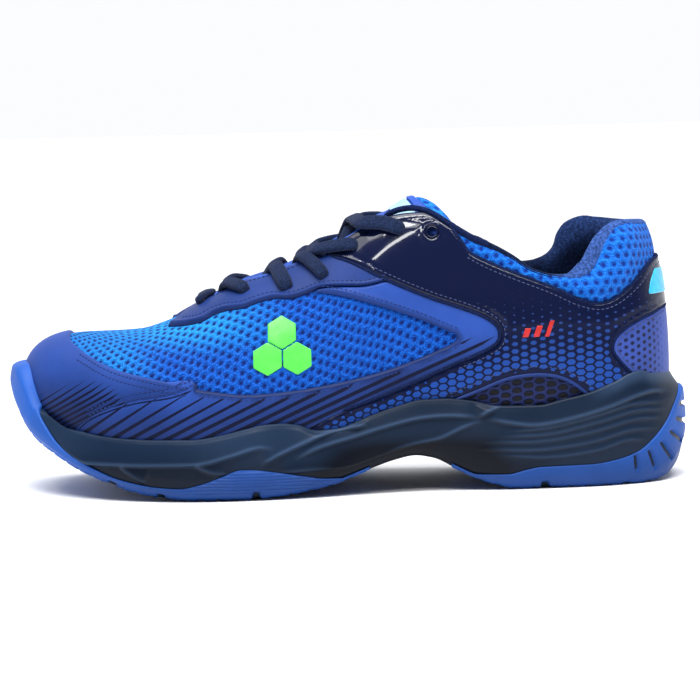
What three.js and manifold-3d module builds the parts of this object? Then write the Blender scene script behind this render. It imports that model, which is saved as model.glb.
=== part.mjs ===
// A left court shoe: moulded sole unit, layered textile and synthetic upper, padded tongue and lace.
// Millimetres, +Z up. The toe points along -X, the lateral (outer) side is -Y and the medial side +Y.
// The origin is on the ground, below the middle of the shoe.
import * as THREE from "three";
import { mergeVertices } from "three/addons/utils/BufferGeometryUtils.js";
import Module from "manifold-3d";

const wasm = await Module();
wasm.setup();

// ---------------------------------------------------------------- driving dimensions

const STATIONS = 48; // stations round the shoe, a multiple of the points in FEATHER_LINE
const ROWS = 6; // rows of facets from the sole up to the spine
const GAP = 0.3; // clearance between pieces that touch on the real shoe

// Layers of the upper, as distances outside the surface that the mesh's outer face follows.
const MESH = [-1.5, 0];
const OVERLAY = [GAP, 1.5];
const STIFFENER = [-2.8, -1.8];
const LINING = [-4.1, -3.1];
const COLLAR_FOAM = [-8.3, -1.8];
const COLLAR_LINING_IN = -9.4;

const BOARD_THICKNESS = 1.5;
const SOCKLINER_THICKNESS = 4.5;
const SHANK_THICKNESS = 2;
const RUBBER_SIDE = 2.6; // outsole rubber where it wraps up the side of the midsole
const RUBBER_SOLE = 4; // outsole rubber underfoot
const LACE_DIAMETER = 2.6;
const EYELET_RADIUS = 2.2;

// Where the upper meets the sole, seen from above, toe tip first, then the lateral side to the heel
// and back along the medial side. The two sides have the same x at matching points.
const FEATHER_LINE = [
  [-139.5, 8], [-134, -9], [-119, -25], [-97, -38], [-69, -45.5], [-40, -46.5],
  [-10, -42], [20, -37], [50, -34], [80, -33], [107, -30.5], [128, -20.5],
  [137.5, 0], [128, 20.5], [107, 30], [80, 32], [50, 30], [20, 30],
  [-10, 34.5], [-40, 41.5], [-69, 46], [-97, 45], [-119, 38], [-134, 25],
];
// Height of the lasting board, and with it the bottom edge of the upper.
const BOARD_HEIGHT = smooth([
  [-141, 34], [-134, 29.5], [-120, 22], [-105, 17.6], [-92, 15.5], [-65, 14.5], [-30, 16], [10, 20],
  [50, 24], [90, 26], [140, 27],
]);
// The spine runs along the top of the last, from the toe box to a lid over the ankle.
const SPINE_X = smooth([
  [-139.5, -112], [-134, -109], [-119, -102], [-97, -90], [-69, -67], [-40, -40],
  [50, 50], [80, 73], [107, 86], [128, 91], [137.5, 92.5],
]);
const SPINE_Y = smooth([[-112, 7], [-70, 2], [-40, 0], [92.5, 0]]);
const SPINE_Z = smooth([
  [-112, 67.8], [-100, 68], [-90, 68.6], [-80, 71.4], [-70, 75.5], [-60, 81], [-45, 89],
  [-30, 94.5], [-15, 102], [0, 112], [20, 127], [40, 136], [60, 142], [92.5, 146],
]);
// How full the wall is: rise and reach of its Bezier handles, and how far it bulges past its foot.
const RISE = smooth([
  [-139.5, 0.73], [-119, 0.76], [-97, 0.71], [-69, 0.62], [50, 0.6], [80, 0.57], [137.5, 0.49],
]);
const REACH = smooth([
  [-139.5, 0.61], [-110, 0.66], [-69, 0.68], [20, 0.65], [50, 0.75], [80, 0.88], [107, 0.88], [137.5, 0.83],
]);
const BULGE = smooth([[-139.5, 7.2], [-119, 5.4], [-97, 5], [-69, 6], [-40, 5], [0, 3], [80, 3], [137.5, 4]]);

// Sole unit, against x of the wall's foot.
const GROUND = smooth([
  [-148, 45], [-145, 37], [-141, 30], [-134.5, 23], [-128, 18.8], [-123, 15.8], [-118, 13], [-113, 10.7],
  [-103, 7], [-94, 4], [-86, 2.2], [-76, 0.6], [-68, 0], [-42, 0], [-30, 0.9], [-18, 2.6], [-8, 4.6],
  [0, 7.3],
  [8, 10.2], [18, 13.4], [27, 15], [35, 13.6], [44, 9], [52, 5], [60, 2.2], [70, 0],
  [122, 0], [129, 0.6], [135, 2], [139, 4.6], [143, 9.6], [146, 18], [148, 30],
]);
const SIDEWALL_TOP = smooth([
  [-147, 42], [-138, 40], [-133, 37.5], [-127, 33.5], [-122, 30.4], [-115, 28.2], [-102, 26.1], [-83, 25.2],
  [-67, 25.2], [-53, 27.1], [-44, 29.2], [-36, 30.8], [-29, 31.1], [-22, 30.2], [-14, 27.6], [-6, 28],
  [9, 32.9], [19, 36], [31, 38.6], [40, 38.7], [50, 37.6], [65, 34.8], [80, 34.6], [90, 36.7],
  [101, 39], [113, 43.2], [120, 46.3], [125, 47.2], [130, 45.4], [136, 47], [146, 47.5],
]);
const RUBBER_TOP = smooth([
  [-148, 56], [-143.5, 55.5], [-140, 48], [-135, 37], [-130, 29.5], [-125, 23.4], [-118, 18.4], [-109, 13.6],
  [-100, 9.7], [-91, 7.4], [-82, 5.9], [-72, 5.3], [-63, 7.1], [-54, 10.2], [-46, 12.8], [-40, 12.6],
  [-31, 11.3], [-20, 9.3], [-11, 7.8], [-4, 7.6], [2, 8], [6, 8.4], [12, 2], [30, 2], [40, 3],
  [44, 8.4], [54, 6.6], [66, 6.3], [74, 8], [80, 9], [102, 9.4], [113, 10.8], [122, 13.5],
  [129, 18.3], [136, 25.5], [141, 33], [145, 38.5], [148, 40],
]);
// How far the sole stands outside the upper's foot line, from its bottom edge to its top edge.
const SOLE_FLARE = [[0, 5], [0.12, 6.4], [0.45, 6.4], [0.8, 5.6], [1, 4.6]];
const SOLE_BOTTOM_INSET = 1.8;
const SOLE_END_FLARE = smooth([[-145, 2.4], [-128, 0.9], [-100, 0], [110, 0], [130, 1.2], [142, 2.2]]);

// Outlines seen from the side, as (x, z). The same outlines serve both sides of the shoe.
const TOE_GUARD_EDGE = [
  [-121.5, 70], [-120.5, 65.5], [-114, 61], [-100, 54.5], [-81.5, 50.2], [-66, 47.6],
  [-64, 46.2], [-73.7, 42.9], [-90.6, 40.1], [-102, 36.7], [-110, 33], [-116, 28],
];
const WINDOW_LOWER = [
  [-63, 46], [-43.8, 43.6], [-24.9, 44.4], [-5.9, 47.1], [10.5, 50.2], [25.3, 54.5], [39.7, 60], [46.9, 65],
];
const WINDOW_UPPER = [[46.9, 65], [43, 66.8], [29.7, 73], [8, 80.5], [-2.5, 83.2], [-13.4, 84.4]];
const EYESTAY_LOWER = [
  [-79, 71], [-70, 72.5], [-62, 73.3], [-51, 77.4], [-38, 80.9], [-23.6, 82], [-13.4, 85], [5.8, 87],
  [17, 89],
];
const SADDLE_FRONT = [[-10, 99.5], [2, 96], [17, 89], [35.8, 81], [51, 75.6], [59.6, 71.6], [63.5, 67.7]];
const SADDLE_UNDER = [
  [63.5, 67.7], [63.3, 62.6], [58.5, 59], [44.8, 53.5], [20, 43.4], [-4, 35.3], [-20, 26],
];
const SADDLE_TOP = [
  [50, 104], [53, 101], [60.7, 97.2], [73.2, 91.8], [87, 86], [98.3, 80], [106.6, 77.4],
  [113, 78.5], [121.5, 84.6], [128, 91.6], [133, 94.5], [145, 95.5],
];
const VENT_ARCH = [[41, 36], [55, 41.9], [67.8, 46.6], [80.4, 47.8], [88.8, 46.5], [95.1, 43.4], [104, 36]];
const HEEL_PANEL_FRONT = [
  [146, 74], [134.9, 73.4], [130.2, 71.8], [123.9, 69.5], [117, 65.8], [112.3, 61.2], [111.8, 57],
  [115.1, 51.8], [124, 42],
];
const TOPLINE_LATERAL = [
  [14, 116], [19.6, 118.2], [29.4, 120.6], [37, 117.4], [45.3, 110.9], [54, 104.8], [61, 100.6], [66, 98],
  [74.5, 93], [83.8, 89.8], [90, 88.6], [96.8, 88.6], [101.5, 91], [105, 95.2], [107.5, 100], [110.2, 106.4],
  [115.7, 110.4], [123, 111.3], [134, 110],
];
const TOPLINE_MEDIAL = [
  [14, 116], [19.6, 118.2], [29.4, 121.4], [37, 119.4], [45.3, 114], [54, 108], [61, 103.4], [66, 100.6],
  [74.5, 96], [83.8, 94.4], [88, 95], [92, 98.4], [97, 104.6], [102, 109.3], [107, 111.6],
  [112, 112.2], [123, 111.6], [134, 110],
];
// The throat between the two sides of the eyestay, against x: half its width, and its middle.
const THROAT_START = -62;
const THROAT_HALF_GAP = smooth([
  [THROAT_START, 2], [-59, 6], [-52, 8.5], [-40, 10.5], [-20, 12.5], [0, 15], [20, 17.5], [40, 21], [60, 25],
]);
const THROAT_MIDDLE = smooth([[-60, 0], [-10, -2]]);
// Eyelets seen from the side. The last pair stays unlaced.
const EYELETS = [[-62, 79], [-43, 84.6], [-25.2, 86], [-9.2, 91], [4.4, 103], [23.7, 109.5], [36.8, 108]];
const LACED_ROWS = 6;

// The tongue, against x along its ridge.
const TONGUE_START = -74;
const TONGUE_END = 36;
const TONGUE_RIDGE = smooth([
  [-74, 68], [-62, 73], [-45, 80.6], [-30, 85.8], [-18, 91], [-12, 96], [-6, 103], [0, 107.5],
  [10, 113], [20, 117.8], [29, 122.4], [36, 123.2],
]);
const TONGUE_HALF_WIDTH = smooth([[-74, 18], [-45, 22], [-20, 24], [0, 24.5], [20, 23], [36, 24]]);
const TONGUE_DROP = smooth([[-74, 5], [-45, 10], [-20, 17], [0, 24], [20, 31], [36, 24]]);
const TONGUE_SWEEP = smooth([[-74, 0], [0, 0], [15, 6], [36, 19]]);
const TONGUE_THICKNESS = smooth([[-74, 3.4], [-15, 3.6], [-6, 7.5], [20, 9.5], [36, 7]]);
const TONGUE_SKIN = 1;
const TONGUE_SKIN_GAP = 0.4;

// Colours and finishes.
const COLOURS = {
  royal_synthetic: [0x2a3fb8, 0.55], bright_mesh: [0x1a62e6, 0.8], navy_gloss: [0x121a3c, 0.15],
  navy_textile: [0x141c44, 0.9], navy_foam: [0x1a2c46, 0.6], blue_rubber: [0x2a5cc8, 0.6],
  lace_navy: [0x0e1734, 0.9], dark_perforated: [0x2a2e5e, 0.7], green_film: [0x62e650, 0.45],
  cyan_film: [0x3cc4e8, 0.4], pale_film: [0xb9d6f2, 0.5], board_grey: [0xb8b4aa, 0.95],
  stiffener_grey: [0xd8d4c8, 0.8], foam_white: [0xe6e2d6, 0.95], shank_black: [0x15171c, 0.35],
  gel_blue: [0x66aee0, 0.3], aglet_clear: [0x222a44, 0.25],
};

// ---------------------------------------------------------------- curves

/** A monotone cubic through [x, value] knots, level outside them. */
function smooth(knots) {
  const slopes = knots.slice(1).map(([x, y], i) => (y - knots[i][1]) / (x - knots[i][0]));
  const tangents = knots.map((_, i) => {
    if (i === 0) return slopes[0];
    if (i === knots.length - 1) return slopes[i - 1];
    const [before, after] = [slopes[i - 1], slopes[i]];
    if (before * after <= 0) return 0;
    const [left, right] = [knots[i][0] - knots[i - 1][0], knots[i + 1][0] - knots[i][0]];
    return (3 * (left + right)) / ((2 * right + left) / before + (right + 2 * left) / after);
  });
  return (at) => {
    const x = Math.min(Math.max(at, knots[0][0]), knots[knots.length - 1][0]);
    const i = Math.min(Math.max(knots.findIndex((k) => k[0] >= x) - 1, 0), slopes.length - 1);
    const h = knots[i + 1][0] - knots[i][0];
    const u = (x - knots[i][0]) / h;
    return (
      (2 * u ** 3 - 3 * u ** 2 + 1) * knots[i][1] + (u ** 3 - 2 * u ** 2 + u) * h * tangents[i] +
      (3 * u ** 2 - 2 * u ** 3) * knots[i + 1][1] + (u ** 3 - u ** 2) * h * tangents[i + 1]
    );
  };
}

const featherCurve = new THREE.CatmullRomCurve3(
  FEATHER_LINE.map(([x, y]) => new THREE.Vector3(x, y, 0)), true, "catmullrom", 0.5,
);

/** The wall's Bezier curve at a turn round the shoe, 0 at the toe tip and 0.5 at the heel. */
function wallCurve(turn) {
  const foot = featherCurve.getPoint(((turn % 1) + 1) % 1);
  foot.z = BOARD_HEIGHT(foot.x);
  const spineX = SPINE_X(foot.x);
  const top = new THREE.Vector3(spineX, SPINE_Y(spineX), SPINE_Z(spineX));
  const outward = new THREE.Vector3(foot.x - top.x, foot.y - top.y, 0);
  const width = outward.length();
  outward.normalize();
  const low = foot.clone().addScaledVector(outward, BULGE(foot.x));
  low.z += RISE(foot.x) * (top.z - foot.z);
  const high = top.clone().addScaledVector(outward, REACH(foot.x) * width);
  return new THREE.CubicBezierCurve3(foot, low, high, top);
}

/** Point of the upper's surface, up 0 at the sole and 1 at the spine, moved outwards by offset. */
function surface(turn, up, offset = 0) {
  const point = wallCurve(turn).getPoint(up);
  const step = 1e-4;
  const normal = new THREE.Vector3();
  if (up > 0.999) {
    const slope = (SPINE_Z(point.x + 1) - SPINE_Z(point.x - 1)) / 2;
    normal.set(-slope, 0, 1).normalize();
  } else {
    const along = wallCurve(turn + step).getPoint(up).sub(wallCurve(turn - step).getPoint(up));
    const wall = wallCurve(turn);
    const rising = wall.getPoint(up + step).sub(wall.getPoint(Math.max(up - step, 0)));
    normal.crossVectors(along, rising).normalize();
  }
  return point.addScaledVector(normal, offset);
}

/** Turn and up of the surface point that the side view shows at (x, z); side is -1 lateral, 1 medial. */
function findOnSide(x, z, side) {
  const turnOf = (share) => (side < 0 ? share : 1 - share);
  let [share, up] = [0.25, 0.5];
  for (let pass = 0; pass < 12; pass++) {
    let [low, high] = [0, 0.5];
    for (let i = 0; i < 24; i++) {
      share = (low + high) / 2;
      if (surface(turnOf(share), up).x < x) low = share;
      else high = share;
    }
    [low, high] = [0, 1];
    for (let i = 0; i < 24; i++) {
      up = (low + high) / 2;
      if (surface(turnOf(share), up).z < z) low = up;
      else high = up;
    }
  }
  return [turnOf(share), up];
}

// ---------------------------------------------------------------- solids

/** A manifold solid from vertices and triangles. */
function solid(vertices, triangles) {
  const geometry = new THREE.BufferGeometry();
  const positions = vertices.flatMap((p) => p.toArray());
  geometry.setAttribute("position", new THREE.Float32BufferAttribute(positions, 3));
  geometry.setIndex(triangles.flat());
  return solidOf(geometry);
}

/** A manifold solid from a closed three.js geometry. */
function solidOf(geometry) {
  const bare = geometry.clone();
  bare.deleteAttribute("normal");
  bare.deleteAttribute("uv");
  const merged = mergeVertices(bare, 1e-4);
  return new wasm.Manifold(new wasm.Mesh({
    numProp: 3,
    vertProperties: merged.attributes.position.array,
    triVerts: new Uint32Array(merged.index.array),
  }));
}

/** Closes a loft of rings of points; each ring has STATIONS points, and the first and last are capped. */
function loft(rings) {
  const count = rings[0].length;
  const triangles = [];
  const at = (ring, i) => ring * count + (i % count);
  rings.slice(1).forEach((_, ring) => {
    for (let i = 0; i < count; i++) {
      const [a, b, c, d] = [at(ring, i), at(ring, i + 1), at(ring + 1, i + 1), at(ring + 1, i)];
      triangles.push([a, b, c], [a, c, d]);
    }
  });
  const last = rings.length - 1;
  for (let i = 0; i < count / 2; i++) {
    const [a, b, c, d] = [i, i + 1, count - i - 1, count - i];
    if (b !== c) triangles.push([at(0, b), at(0, a), at(0, c)], [at(last, a), at(last, b), at(last, c)]);
    if (i > 0) triangles.push([at(0, a), at(0, d), at(0, c)], [at(last, d), at(last, a), at(last, c)]);
  }
  return solid(rings.flat(), triangles);
}

/** The dome of the upper's surface at an offset, as vertex rows; the top row is the shared spine. */
function domeRows(offset, footDrop = 0) {
  const rows = [];
  for (let row = 0; row <= ROWS; row++) {
    rows.push(Array.from({ length: STATIONS }, (_, i) => {
      const station = row === ROWS ? Math.min(i, STATIONS - i) : i;
      const p = surface(station / STATIONS, row / ROWS, offset);
      if (row === 0) p.z = BOARD_HEIGHT(p.x) - footDrop;
      return p;
    }));
  }
  return rows;
}

/** The space inside the upper's surface at an offset, down to footDrop below the board's line. */
function domeVolume(offset, footDrop) {
  const rows = domeRows(offset, footDrop);
  const triangles = [];
  const at = (row, i) => row * STATIONS + (i % STATIONS);
  for (let row = 0; row < ROWS; row++) {
    for (let i = 0; i < STATIONS; i++) {
      const [a, b, c, d] = [at(row, i), at(row, i + 1), at(row + 1, i + 1), at(row + 1, i)];
      triangles.push([a, b, c], [a, c, d]);
    }
  }
  for (let i = 0; i < STATIONS / 2; i++) {
    const [a, b, c, d] = [i, i + 1, STATIONS - i - 1, STATIONS - i];
    if (b !== c) triangles.push([b, a, c]);
    if (i > 0) triangles.push([a, d, c]);
  }
  return solid(rows.flat(), triangles);
}

/** A skin of the upper between two offsets, open underneath. */
function skin([inner, outer]) {
  const rows = [...domeRows(outer), ...domeRows(inner)];
  const half = (ROWS + 1) * STATIONS;
  const triangles = [];
  const at = (row, i) => row * STATIONS + (i % STATIONS);
  for (let i = 0; i < STATIONS; i++) {
    for (let row = 0; row < ROWS; row++) {
      const quad = [at(row, i), at(row, i + 1), at(row + 1, i + 1), at(row + 1, i)];
      triangles.push([quad[0], quad[1], quad[2]], [quad[0], quad[2], quad[3]]);
      const back = quad.map((v) => v + half);
      triangles.push([back[0], back[2], back[1]], [back[0], back[3], back[2]]);
    }
    const [a, b, c, d] = [at(0, i), half + at(0, i), half + at(0, i + 1), at(0, i + 1)];
    triangles.push([a, b, c], [a, c, d]);
  }
  return solid(rows.flat(), triangles);
}

/** A prism across the shoe from a side outline of (x, z) points, between two values of y. */
function across(outline, yLow = -90, yHigh = 90) {
  const shape = new THREE.Shape(outline.map(([x, z]) => new THREE.Vector2(x, z)));
  const geometry = new THREE.ExtrudeGeometry(shape, { depth: yHigh - yLow, bevelEnabled: false });
  geometry.rotateX(Math.PI / 2);
  geometry.translate(0, yHigh, 0);
  return solidOf(geometry);
}

/** A prism standing on the ground plane from a plan outline of (x, y) points. */
function upright(outline, zLow = -10, zHigh = 200) {
  const shape = new THREE.Shape(outline.map(([x, y]) => new THREE.Vector2(x, y)));
  const geometry = new THREE.ExtrudeGeometry(shape, { depth: zHigh - zLow, bevelEnabled: false });
  geometry.translate(0, 0, zLow);
  return solidOf(geometry);
}

/** One side of the shoe, as a cutter: -1 lateral, 1 medial; clear is the gap left at the middle. */
function sideHalf(side, clear = GAP / 2) {
  const everything = [[-200, -20], [200, -20], [200, 220], [-200, 220]];
  return side < 0 ? across(everything, -90, -clear) : across(everything, clear, 90);
}

/** Moves an outline's points along their curve's left-hand normal. */
function shifted(points, distance) {
  return points.map((p, i) => {
    const [a, b] = [points[Math.max(i - 1, 0)], points[Math.min(i + 1, points.length - 1)]];
    const [dx, dz] = [b[0] - a[0], b[1] - a[1]];
    const length = Math.hypot(dx, dz);
    return [p[0] - (dz / length) * distance, p[1] + (dx / length) * distance];
  });
}

// ---------------------------------------------------------------- cutters shared by the upper's pieces

const topline = { [-1]: TOPLINE_LATERAL, 1: TOPLINE_MEDIAL };

/** The throat's slot between the two sides of the eyestay, wider by extra. */
function throatSlot(extra = 0) {
  const stations = [THROAT_START, -59, -52, -40, -20, 0, 20, 40, 60, 80];
  const edge = (side) => stations.map((x) => [
    x, THROAT_MIDDLE(x) + side * Math.max(THROAT_HALF_GAP(x) + extra, 0.5),
  ]);
  return upright([...edge(-1), ...edge(1).reverse()], 60);
}

/** Everything above the collar's edge and in the throat's slot, which the upper leaves open. */
function openingCutter(drop = 0) {
  const sides = [-1, 1].map((side) => across(
    [...topline[side].map(([x, z]) => [x, z - drop]), [160, 105 - drop], [160, 220], [14, 220]],
    side < 0 ? -90 : -0.01, side < 0 ? 0.01 : 90,
  ));
  return throatSlot().add(sides[0]).add(sides[1]);
}

const opening = openingCutter();

/** A cutter for everything behind the saddle's front edge. */
function behindSaddleFront(distance = 0) {
  const edge = shifted([...SADDLE_FRONT, ...SADDLE_UNDER.slice(1)], distance);
  return across([[-30, 220], [-12, 130], ...edge, [-24, -20], [200, -20], [200, 220]]);
}

/** A cutter for everything above the saddle's top edge, which the collar mesh fills. */
function aboveSaddle(distance = 0) {
  return across([[44, 220], [44, 112], ...shifted(SADDLE_TOP, distance), [170, 96 + distance], [170, 220]]);
}

function toeGuardZone(distance = 0) {
  const edge = shifted(TOE_GUARD_EDGE, distance);
  return across([[-121.5 + distance, 120], ...edge, [-116, -20], [-200, -20], [-200, 120]]);
}

function ventZone(distance = 0) {
  return across([...shifted(VENT_ARCH, distance), [106, -20], [38, -20]]);
}

function heelPanelZone(distance = 0) {
  const edge = shifted(HEEL_PANEL_FRONT, distance);
  return across([...edge, [124, -20], [200, -20], [200, 74 - distance]]);
}

/** The unlaced top pair of eyelets, as one cutter through every layer. */
function eyeletCutter() {
  let cutter = null;
  for (const side of [-1, 1]) {
    for (const [x, z] of EYELETS.slice(LACED_ROWS)) {
      const [turn, up] = findOnSide(x, z, side);
      const [outer, inner] = [surface(turn, up, 5), surface(turn, up, -14)];
      const geometry = new THREE.CylinderGeometry(EYELET_RADIUS, EYELET_RADIUS, outer.distanceTo(inner), 8);
      geometry.applyQuaternion(new THREE.Quaternion().setFromUnitVectors(
        new THREE.Vector3(0, 1, 0), outer.clone().sub(inner).normalize(),
      ));
      geometry.translate(...outer.clone().add(inner).multiplyScalar(0.5).toArray());
      cutter = cutter ? cutter.add(solidOf(geometry)) : solidOf(geometry);
    }
  }
  return cutter;
}



// ---------------------------------------------------------------- lace

/** The surface point of an eyelet, or of the throat's edge beside it, moved outwards by offset. */
function atEyelet(row, side, offset) {
  const [turn, up] = findOnSide(...EYELETS[row], side);
  return surface(turn, up, offset);
}

function atThroatEdge(x, side, offset, inward = 0) {
  const [turn, up] = findByPlan(x, THROAT_MIDDLE(x) + side * (THROAT_HALF_GAP(x) + 1));
  const point = surface(turn, up, offset);
  point.y -= side * inward;
  return point;
}

/** The lace's route: a bar across the first pair, then criss-cross up both sides, ends tucked in. */
function laceRoute() {
  const radius = LACE_DIAMETER / 2;
  const above = OVERLAY[1] + radius + 0.5;
  const below = LINING[0] - radius - 0.5;
  const strands = [-1, 1].map((start) => {
    const points = [];
    for (let row = 0; row < LACED_ROWS; row++) {
      const side = row % 2 === 0 ? start : -start;
      const x = EYELETS[row][0];
      if (row > 0) points.push(atThroatEdge(x - 3, side, above, 1));
      points.push(atEyelet(row, side, above), atEyelet(row, side, below));
      if (row === LACED_ROWS - 1) {
        const [turn, up] = findOnSide(...EYELETS[row], side);
        points.push(surface(turn, up - 0.05, below - 0.3), surface(turn, up - 0.12, below - 0.3));
      } else {
        const middle = (x + EYELETS[row + 1][0]) / 2;
        points.push(atThroatEdge(x + 2, side, below, 0.5), atThroatEdge(x + 3, side, -0.5, 3.2));
        const stacked = start < 0 ? 0 : LACE_DIAMETER + 0.6;
        const height = TONGUE_RIDGE(middle) + radius + 1 + stacked;
        points.push(new THREE.Vector3(middle, THROAT_MIDDLE(x), height));
      }
    }
    return points;
  });
  const first = EYELETS[0][0];
  const bar = [-4, 4].map((y) => new THREE.Vector3(first + 1, y, SPINE_Z(first) + radius + 2.4));
  return [...strands[0].reverse(), ...bar, ...strands[1]];
}

/** Turn and up of the surface point that the plan view shows at (x, y), on the upper half of the wall. */
function findByPlan(x, y) {
  const turnOf = (share) => (y < 0 ? share : 1 - share);
  let [share, up] = [0.25, 0.8];
  for (let pass = 0; pass < 12; pass++) {
    let [low, high] = [0, 0.5];
    for (let i = 0; i < 24; i++) {
      share = (low + high) / 2;
      if (surface(turnOf(share), up).x < x) low = share;
      else high = share;
    }
    [low, high] = [0.3, 1];
    for (let i = 0; i < 24; i++) {
      up = (low + high) / 2;
      if (Math.abs(surface(turnOf(share), up).y) > Math.abs(y)) low = up;
      else high = up;
    }
  }
  return [turnOf(share), up];
}

const route = laceRoute();

/** The lace as a solid, fatter by extra. */
function laceSolid(extra) {
  const curve = new THREE.CatmullRomCurve3(route, false, "centripetal");
  const section = new THREE.Shape().absarc(0, 0, LACE_DIAMETER / 2 + extra, 0, 2 * Math.PI, false);
  const settings = { extrudePath: curve, steps: route.length * 2, curveSegments: 3 };
  return solidOf(new THREE.ExtrudeGeometry(section, settings));
}

const laceCutter = laceSolid(GAP);
const eyelets = eyeletCutter().add(laceCutter);

// ---------------------------------------------------------------- the scene graph

const shoe = new THREE.Group();
shoe.name = "court_shoe";

/** Adds a solid to the shoe as a named mesh. */
function addPiece(name, body, finish) {
  const { vertProperties, triVerts, numProp } = body.getMesh();
  const positions = new Float32Array((vertProperties.length / numProp) * 3);
  for (let i = 0; i < positions.length / 3; i++) {
    positions.set(vertProperties.subarray(i * numProp, i * numProp + 3), i * 3);
  }
  const geometry = new THREE.BufferGeometry();
  geometry.setAttribute("position", new THREE.BufferAttribute(positions, 3));
  geometry.setIndex(new THREE.BufferAttribute(triVerts, 1));
  geometry.computeVertexNormals();
  const [color, roughness] = COLOURS[finish];
  const mesh = new THREE.Mesh(geometry, new THREE.MeshStandardMaterial({ color, roughness, metalness: 0 }));
  mesh.name = name;
  shoe.add(mesh);
}

/** The largest of a solid's separate bodies, which drops the slivers that a cut can leave. */
function largest(body) {
  return body.decompose().sort((a, b) => b.volume() - a.volume())[0];
}

// ---------------------------------------------------------------- sole unit

/** A ring round the sole, outset from the upper's foot line, at the height found at another outset. */
function soleRing(outset, height, heightOutset = outset) {
  return Array.from({ length: STATIONS }, (_, i) => {
    const curve = wallCurve(i / STATIONS);
    const outward = curve.v0.clone().sub(curve.v3).setZ(0).normalize();
    const p = curve.v0.clone().addScaledVector(outward, outset);
    p.z = height(curve.v0.x + outward.x * heightOutset);
    return p;
  });
}

/** A sole ring that also stands out further at the toe and the heel. */
function flaredRing(outset, height) {
  const plain = soleRing(0, () => 0);
  const flared = soleRing(1, () => 0);
  return plain.map((foot, i) => {
    const p = foot.clone().lerp(flared[i], outset + SOLE_END_FLARE(foot.x));
    return p.setZ(height(p.x));
  });
}

/** The outer shape of the whole sole unit, from the ground up to the sidewall's top edge. */
function soleVolume() {
  const rings = [flaredRing(SOLE_FLARE[0][1] - SOLE_BOTTOM_INSET, GROUND)];
  for (const [share, outset] of SOLE_FLARE) {
    rings.push(flaredRing(outset, (x) => {
      const low = GROUND(x) + 1.2;
      const high = Math.max(SIDEWALL_TOP(x), RUBBER_TOP(x));
      return low + share * (high - low);
    }));
  }
  return loft(rings);
}

/** The core that the outsole wraps: inset from the sides and raised off the ground. */
function soleCore(extra = 0) {
  const inset = RUBBER_SIDE + extra;
  const flare = SOLE_FLARE[1][1] - inset;
  return loft([
    flaredRing(flare - 1.5, (x) => GROUND(x) + RUBBER_SOLE + extra),
    flaredRing(flare, (x) => GROUND(x) + RUBBER_SOLE + extra + 2),
    flaredRing(SOLE_FLARE[2][1] - inset, (x) => Math.max(RUBBER_TOP(x), GROUND(x) + RUBBER_SOLE + 4) + 3),
  ]);
}

/** Everything below the line where rubber gives way to foam. */
function belowRubberLine(raise) {
  return loft([soleRing(11, () => -20), soleRing(11, (x) => RUBBER_TOP(x) + raise, 8)]);
}

/** Grooves across the outsole. */
function grooves() {
  const cuts = [
    [-103, 5.8, 3], [-81, 1.2, 2.6], [-38, 0.2, 3], [-18, 2.6, 2.2], [74, 0, 2.6], [117, 1, 2.8],
  ];
  let cutter = null;
  for (const [x, z, radius] of cuts) {
    const geometry = new THREE.CylinderGeometry(radius, radius, 160, 8);
    geometry.translate(x, 0, z - radius * 0.35);
    cutter = cutter ? cutter.add(solidOf(geometry)) : solidOf(geometry);
  }
  return cutter;
}

/** A flat oval pocket or pad that follows the board's height. */
function ovalPad(centreX, centreY, halfLength, halfWidth, low, high) {
  const outline = Array.from({ length: 24 }, (_, i) => {
    const angle = (i / 24) * 2 * Math.PI;
    return [centreX + halfLength * Math.cos(angle), centreY + halfWidth * Math.sin(angle)];
  });
  const base = BOARD_HEIGHT(centreX);
  return upright(outline, base + low, base + high);
}

function shankPlate(extra) {
  const outline = [[7, 9], [12, 14], [26, 15], [40, 14], [45, 9]];
  const plan = [...outline, ...outline.slice().reverse().map(([x, y]) => [x, -y - 3])]
    .map(([x, y]) => [x + Math.sign(x - 26) * extra, y + Math.sign(y) * extra]);
  const side = [0, 8, 18, 27, 35, 44, 52];
  const above = side.slice().reverse().map((x) => [x, GROUND(x) + SHANK_THICKNESS + extra]);
  const band = across([...side.map((x) => [x, GROUND(x) - 4]), ...above]);
  return upright(plan).intersect(band);
}

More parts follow.
